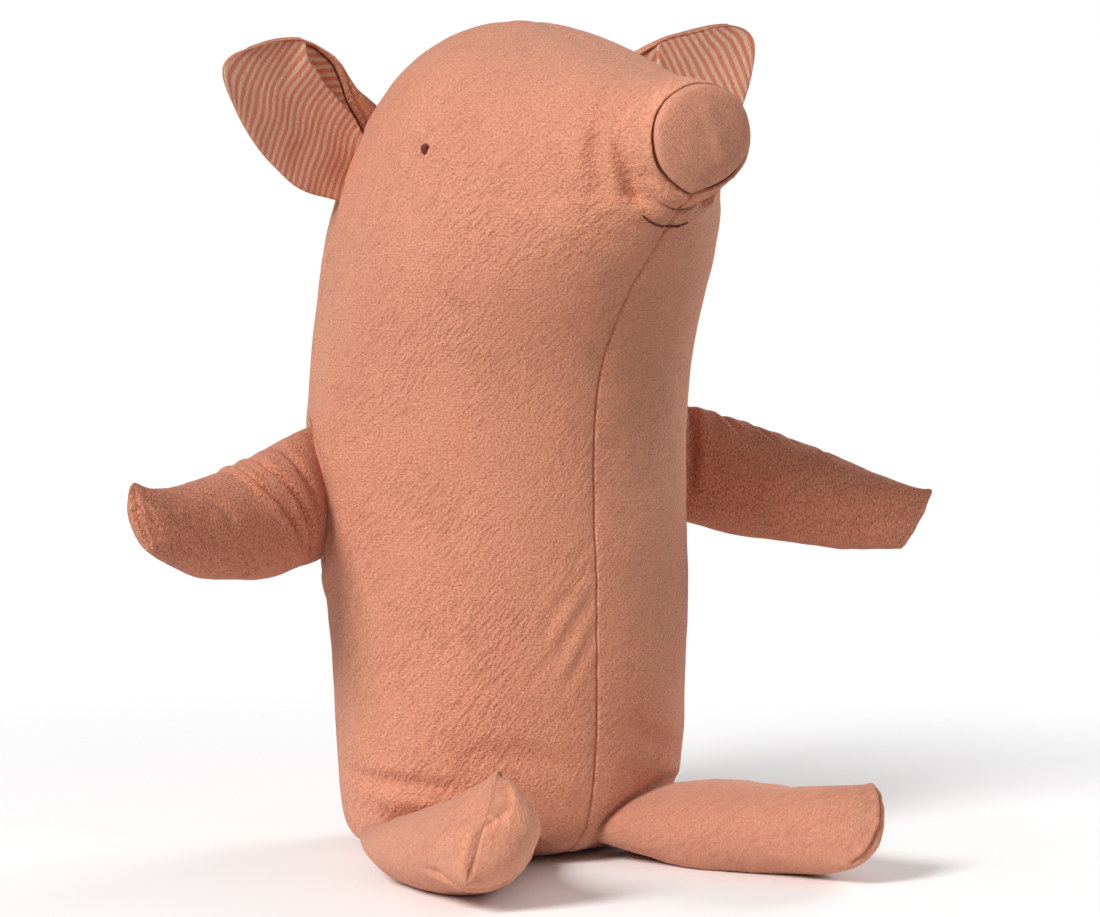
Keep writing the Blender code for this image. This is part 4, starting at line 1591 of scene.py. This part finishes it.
def clothOnPanel(look, along, high, length, wave):
    # the stripes bend with the panel: upright in its middle, leaning at both edges
    side, lean = look["side"], look["lean"]
    bendShare = min(1.0, max(0.0, (ear["bendFrom"] - along) / ear["bendFade"]))
    bend = between(look["bend"], high) * bendShare + look["tipLean"] * high * (1 - bendShare)
    return Vector((side * along * math.cos(lean) + high * math.sin(lean) + side * bend + wave, length))


def earRow(look, share):
    # one row of the lining and of the back, each a list of (spot, place on the cloth), and the seam's spot
    side = look["side"]
    along, fold, path = earPath(look, share)
    firstOnStrip = earColumns["panel"] + earColumns["turn"] + 3
    liningRow, backRow = [], []
    length = 0.0
    before = path[0]
    for column, (high, deep, kind) in enumerate(path):
        length += math.hypot(high - before[0], deep - before[1])
        before = (high, deep)
        ripple = ear["ripple"] * noise.noise(Vector((along, high, 0.3 * side)) / ear["rippleSize"])
        spot = Vector((earOut(look, share, path, along, high), deep + ripple, high))
        wave = ear["wave"] * noise.noise(Vector((along, high, 5.0)) / ear["waveSize"])
        onStrip = Vector((high * ear["stripPitch"] + side * along * look["stripLean"] + wave, along))
        if kind < 2:
            onPanel = clothOnPanel(look, along, high, length, wave)
            liningRow.append((spot, onStrip if column >= firstOnStrip else onPanel))
            backRow.append((spot + Vector((0, ear["backAway"], 0)), Vector((along, high))))
        elif column == len(path) - earColumns["band"] - 1:
            liningRow.append((spot + Vector((0, 0.0006, 0)), onStrip))
    # the back rolls over the upper edge and comes forward to the lining's edge
    band = path[-earColumns["band"] - 1:]
    roll = [(earOut(look, share, path, along, high), deep, high) for high, deep, kind in band]
    gap = ear["gap"][0] + ear["gap"][1] * fold
    for x, deep, high in roll[:-1]:
        backRow.append((Vector((x, deep + gap, high)), Vector((along, high))))
    x, deep, high = roll[-1]
    last = earColumns["roll"] - 1
    for step in range(last + 1):
        turn = math.pi * step / last
        rolled = deep + gap / 2 - 0.0002 + math.cos(turn) * gap / 2
        spot = Vector((x, rolled, high + ear["rollOut"] * math.sin(turn)))
        backRow.append((spot, Vector((along, high + 0.002 * step / last))))
    for x, deep, high in reversed(roll[:-1]):
        deep -= ear["edgeGap"] * (1 + fold)
        backRow.append((Vector((x, deep, high)), Vector((along, ear["backMap"] - high))))
    x, deep, high = roll[0]
    seamSpot = Vector((x, deep - 0.0004, high - 0.0002)) if along < look["threadEnd"] else None
    return liningRow, backRow, seamSpot


def earMesh(name, rowsOfSpots):
    # a grid of spots as a sheet
    rows, columns = len(rowsOfSpots), len(rowsOfSpots[0])
    bpy.ops.object.select_all(action="DESELECT")
    bpy.ops.mesh.primitive_grid_add(x_subdivisions=columns - 1, y_subdivisions=rows - 1, size=2)
    leaf = bpy.context.object
    leaf.name = name
    places = spots(leaf)
    flat = np.zeros((len(places), 2))
    for index, (x, y, z) in enumerate(places.copy()):
        column = round((x + 1) / 2 * (columns - 1))
        row = round((y + 1) / 2 * (rows - 1))
        places[index], flat[index] = rowsOfSpots[row][column]
    setSpots(leaf, places)
    setMap(leaf, flat)
    if outward(leaf)[:, 1].mean() > 0:  # the sheet's face looks to the front
        leaf.data.flip_normals()
    return leaf


def sewEar(sideName, seamSpots, put):
    # a row of stitches with a gap between each two
    count, over = ear["stitchPoints"], ear["stitchOver"]
    stitches = []
    for start in range(0, len(seamSpots) - 2, count - 1):
        points = seamSpots[start:start + count]
        if len(points) > 2:
            first = points[0] - (points[0] - points[1]) * over
            stitches.append([first, *points[1:-1], points[-1] + (points[-2] - points[-1]) * over])
    seam = tube("earSeam_" + sideName, stitches, ear["thread"], threadSides)
    seam.data.transform(put)
    dress(seam, thread, None)


def makeEar(sideName, look):
    side = look["side"]
    sideways, back, up = look["root"]
    put = Matrix.Translation((side * sideways, back, up)) @ Matrix.Rotation(-side * ear["sweep"], 4, "Z")
    put = put @ Matrix.Rotation(-side * look["lift"], 4, "Y")
    liningRows, backRows, seamSpots = zip(*(earRow(look, row / ear["rows"]) for row in range(ear["rows"] + 1)))
    for name, rows, material, slotName in (
        ("earLining_", liningRows, lining, "striped_lining"),
        ("earBack_", backRows, linen, "linen"),
    ):
        leaf = earMesh(name + sideName, rows)
        wall = leaf.modifiers.new("cloth", "SOLIDIFY")
        wall.thickness = ear["wall"]
        wall.offset = 0.0
        finishModifier(leaf, wall)
        smoothOut(leaf)
        leaf.data.transform(put)
        dress(leaf, material, ["ear_" + sideName])
    sewEar(sideName, [spot for spot in seamSpots if spot is not None], put)


for sideName, look in earSides.items():
    makeEar(sideName, look)


# tail

tail = {
    "root": (0.0770, 0.0620), "inside": 0.006, "straight": 0.005, "points": 61, "widenOver": 30,
    "coil": 0.0100, "flatter": 1.4, "pitch": 0.0110, "turns": 1.25, "radius": 0.0042, "sides": 12,
    "lump": 0.0004, "lumpSize": 0.006,
}


def makeTail():
    back, up = tail["root"]
    points = [Vector((0, back - tail["inside"], up))]
    for step in range(tail["points"]):
        turn = 2 * math.pi * tail["turns"] * step / (tail["points"] - 1)
        coil = tail["coil"] * min(1.0, step / tail["widenOver"])
        points.append(Vector((
            coil * math.sin(turn),
            back + tail["straight"] + tail["pitch"] * turn / (2 * math.pi),
            up + coil * (1 - math.cos(turn)) / tail["flatter"],
        )))
    curl = tube("tailCurl", [points], tail["radius"], tail["sides"])
    places = spots(curl)
    share = nearestOnRun(places, points)[1]
    length = runLengths(np.array(points))[1][-1]
    setMap(curl, np.column_stack([places[:, 0] + places[:, 2], share * length]))
    smoothOut(curl)
    push(curl, tail["lump"] * lumps(spots(curl), tail["lumpSize"], 31))
    dress(curl, linen, ["tail"])


makeTail()
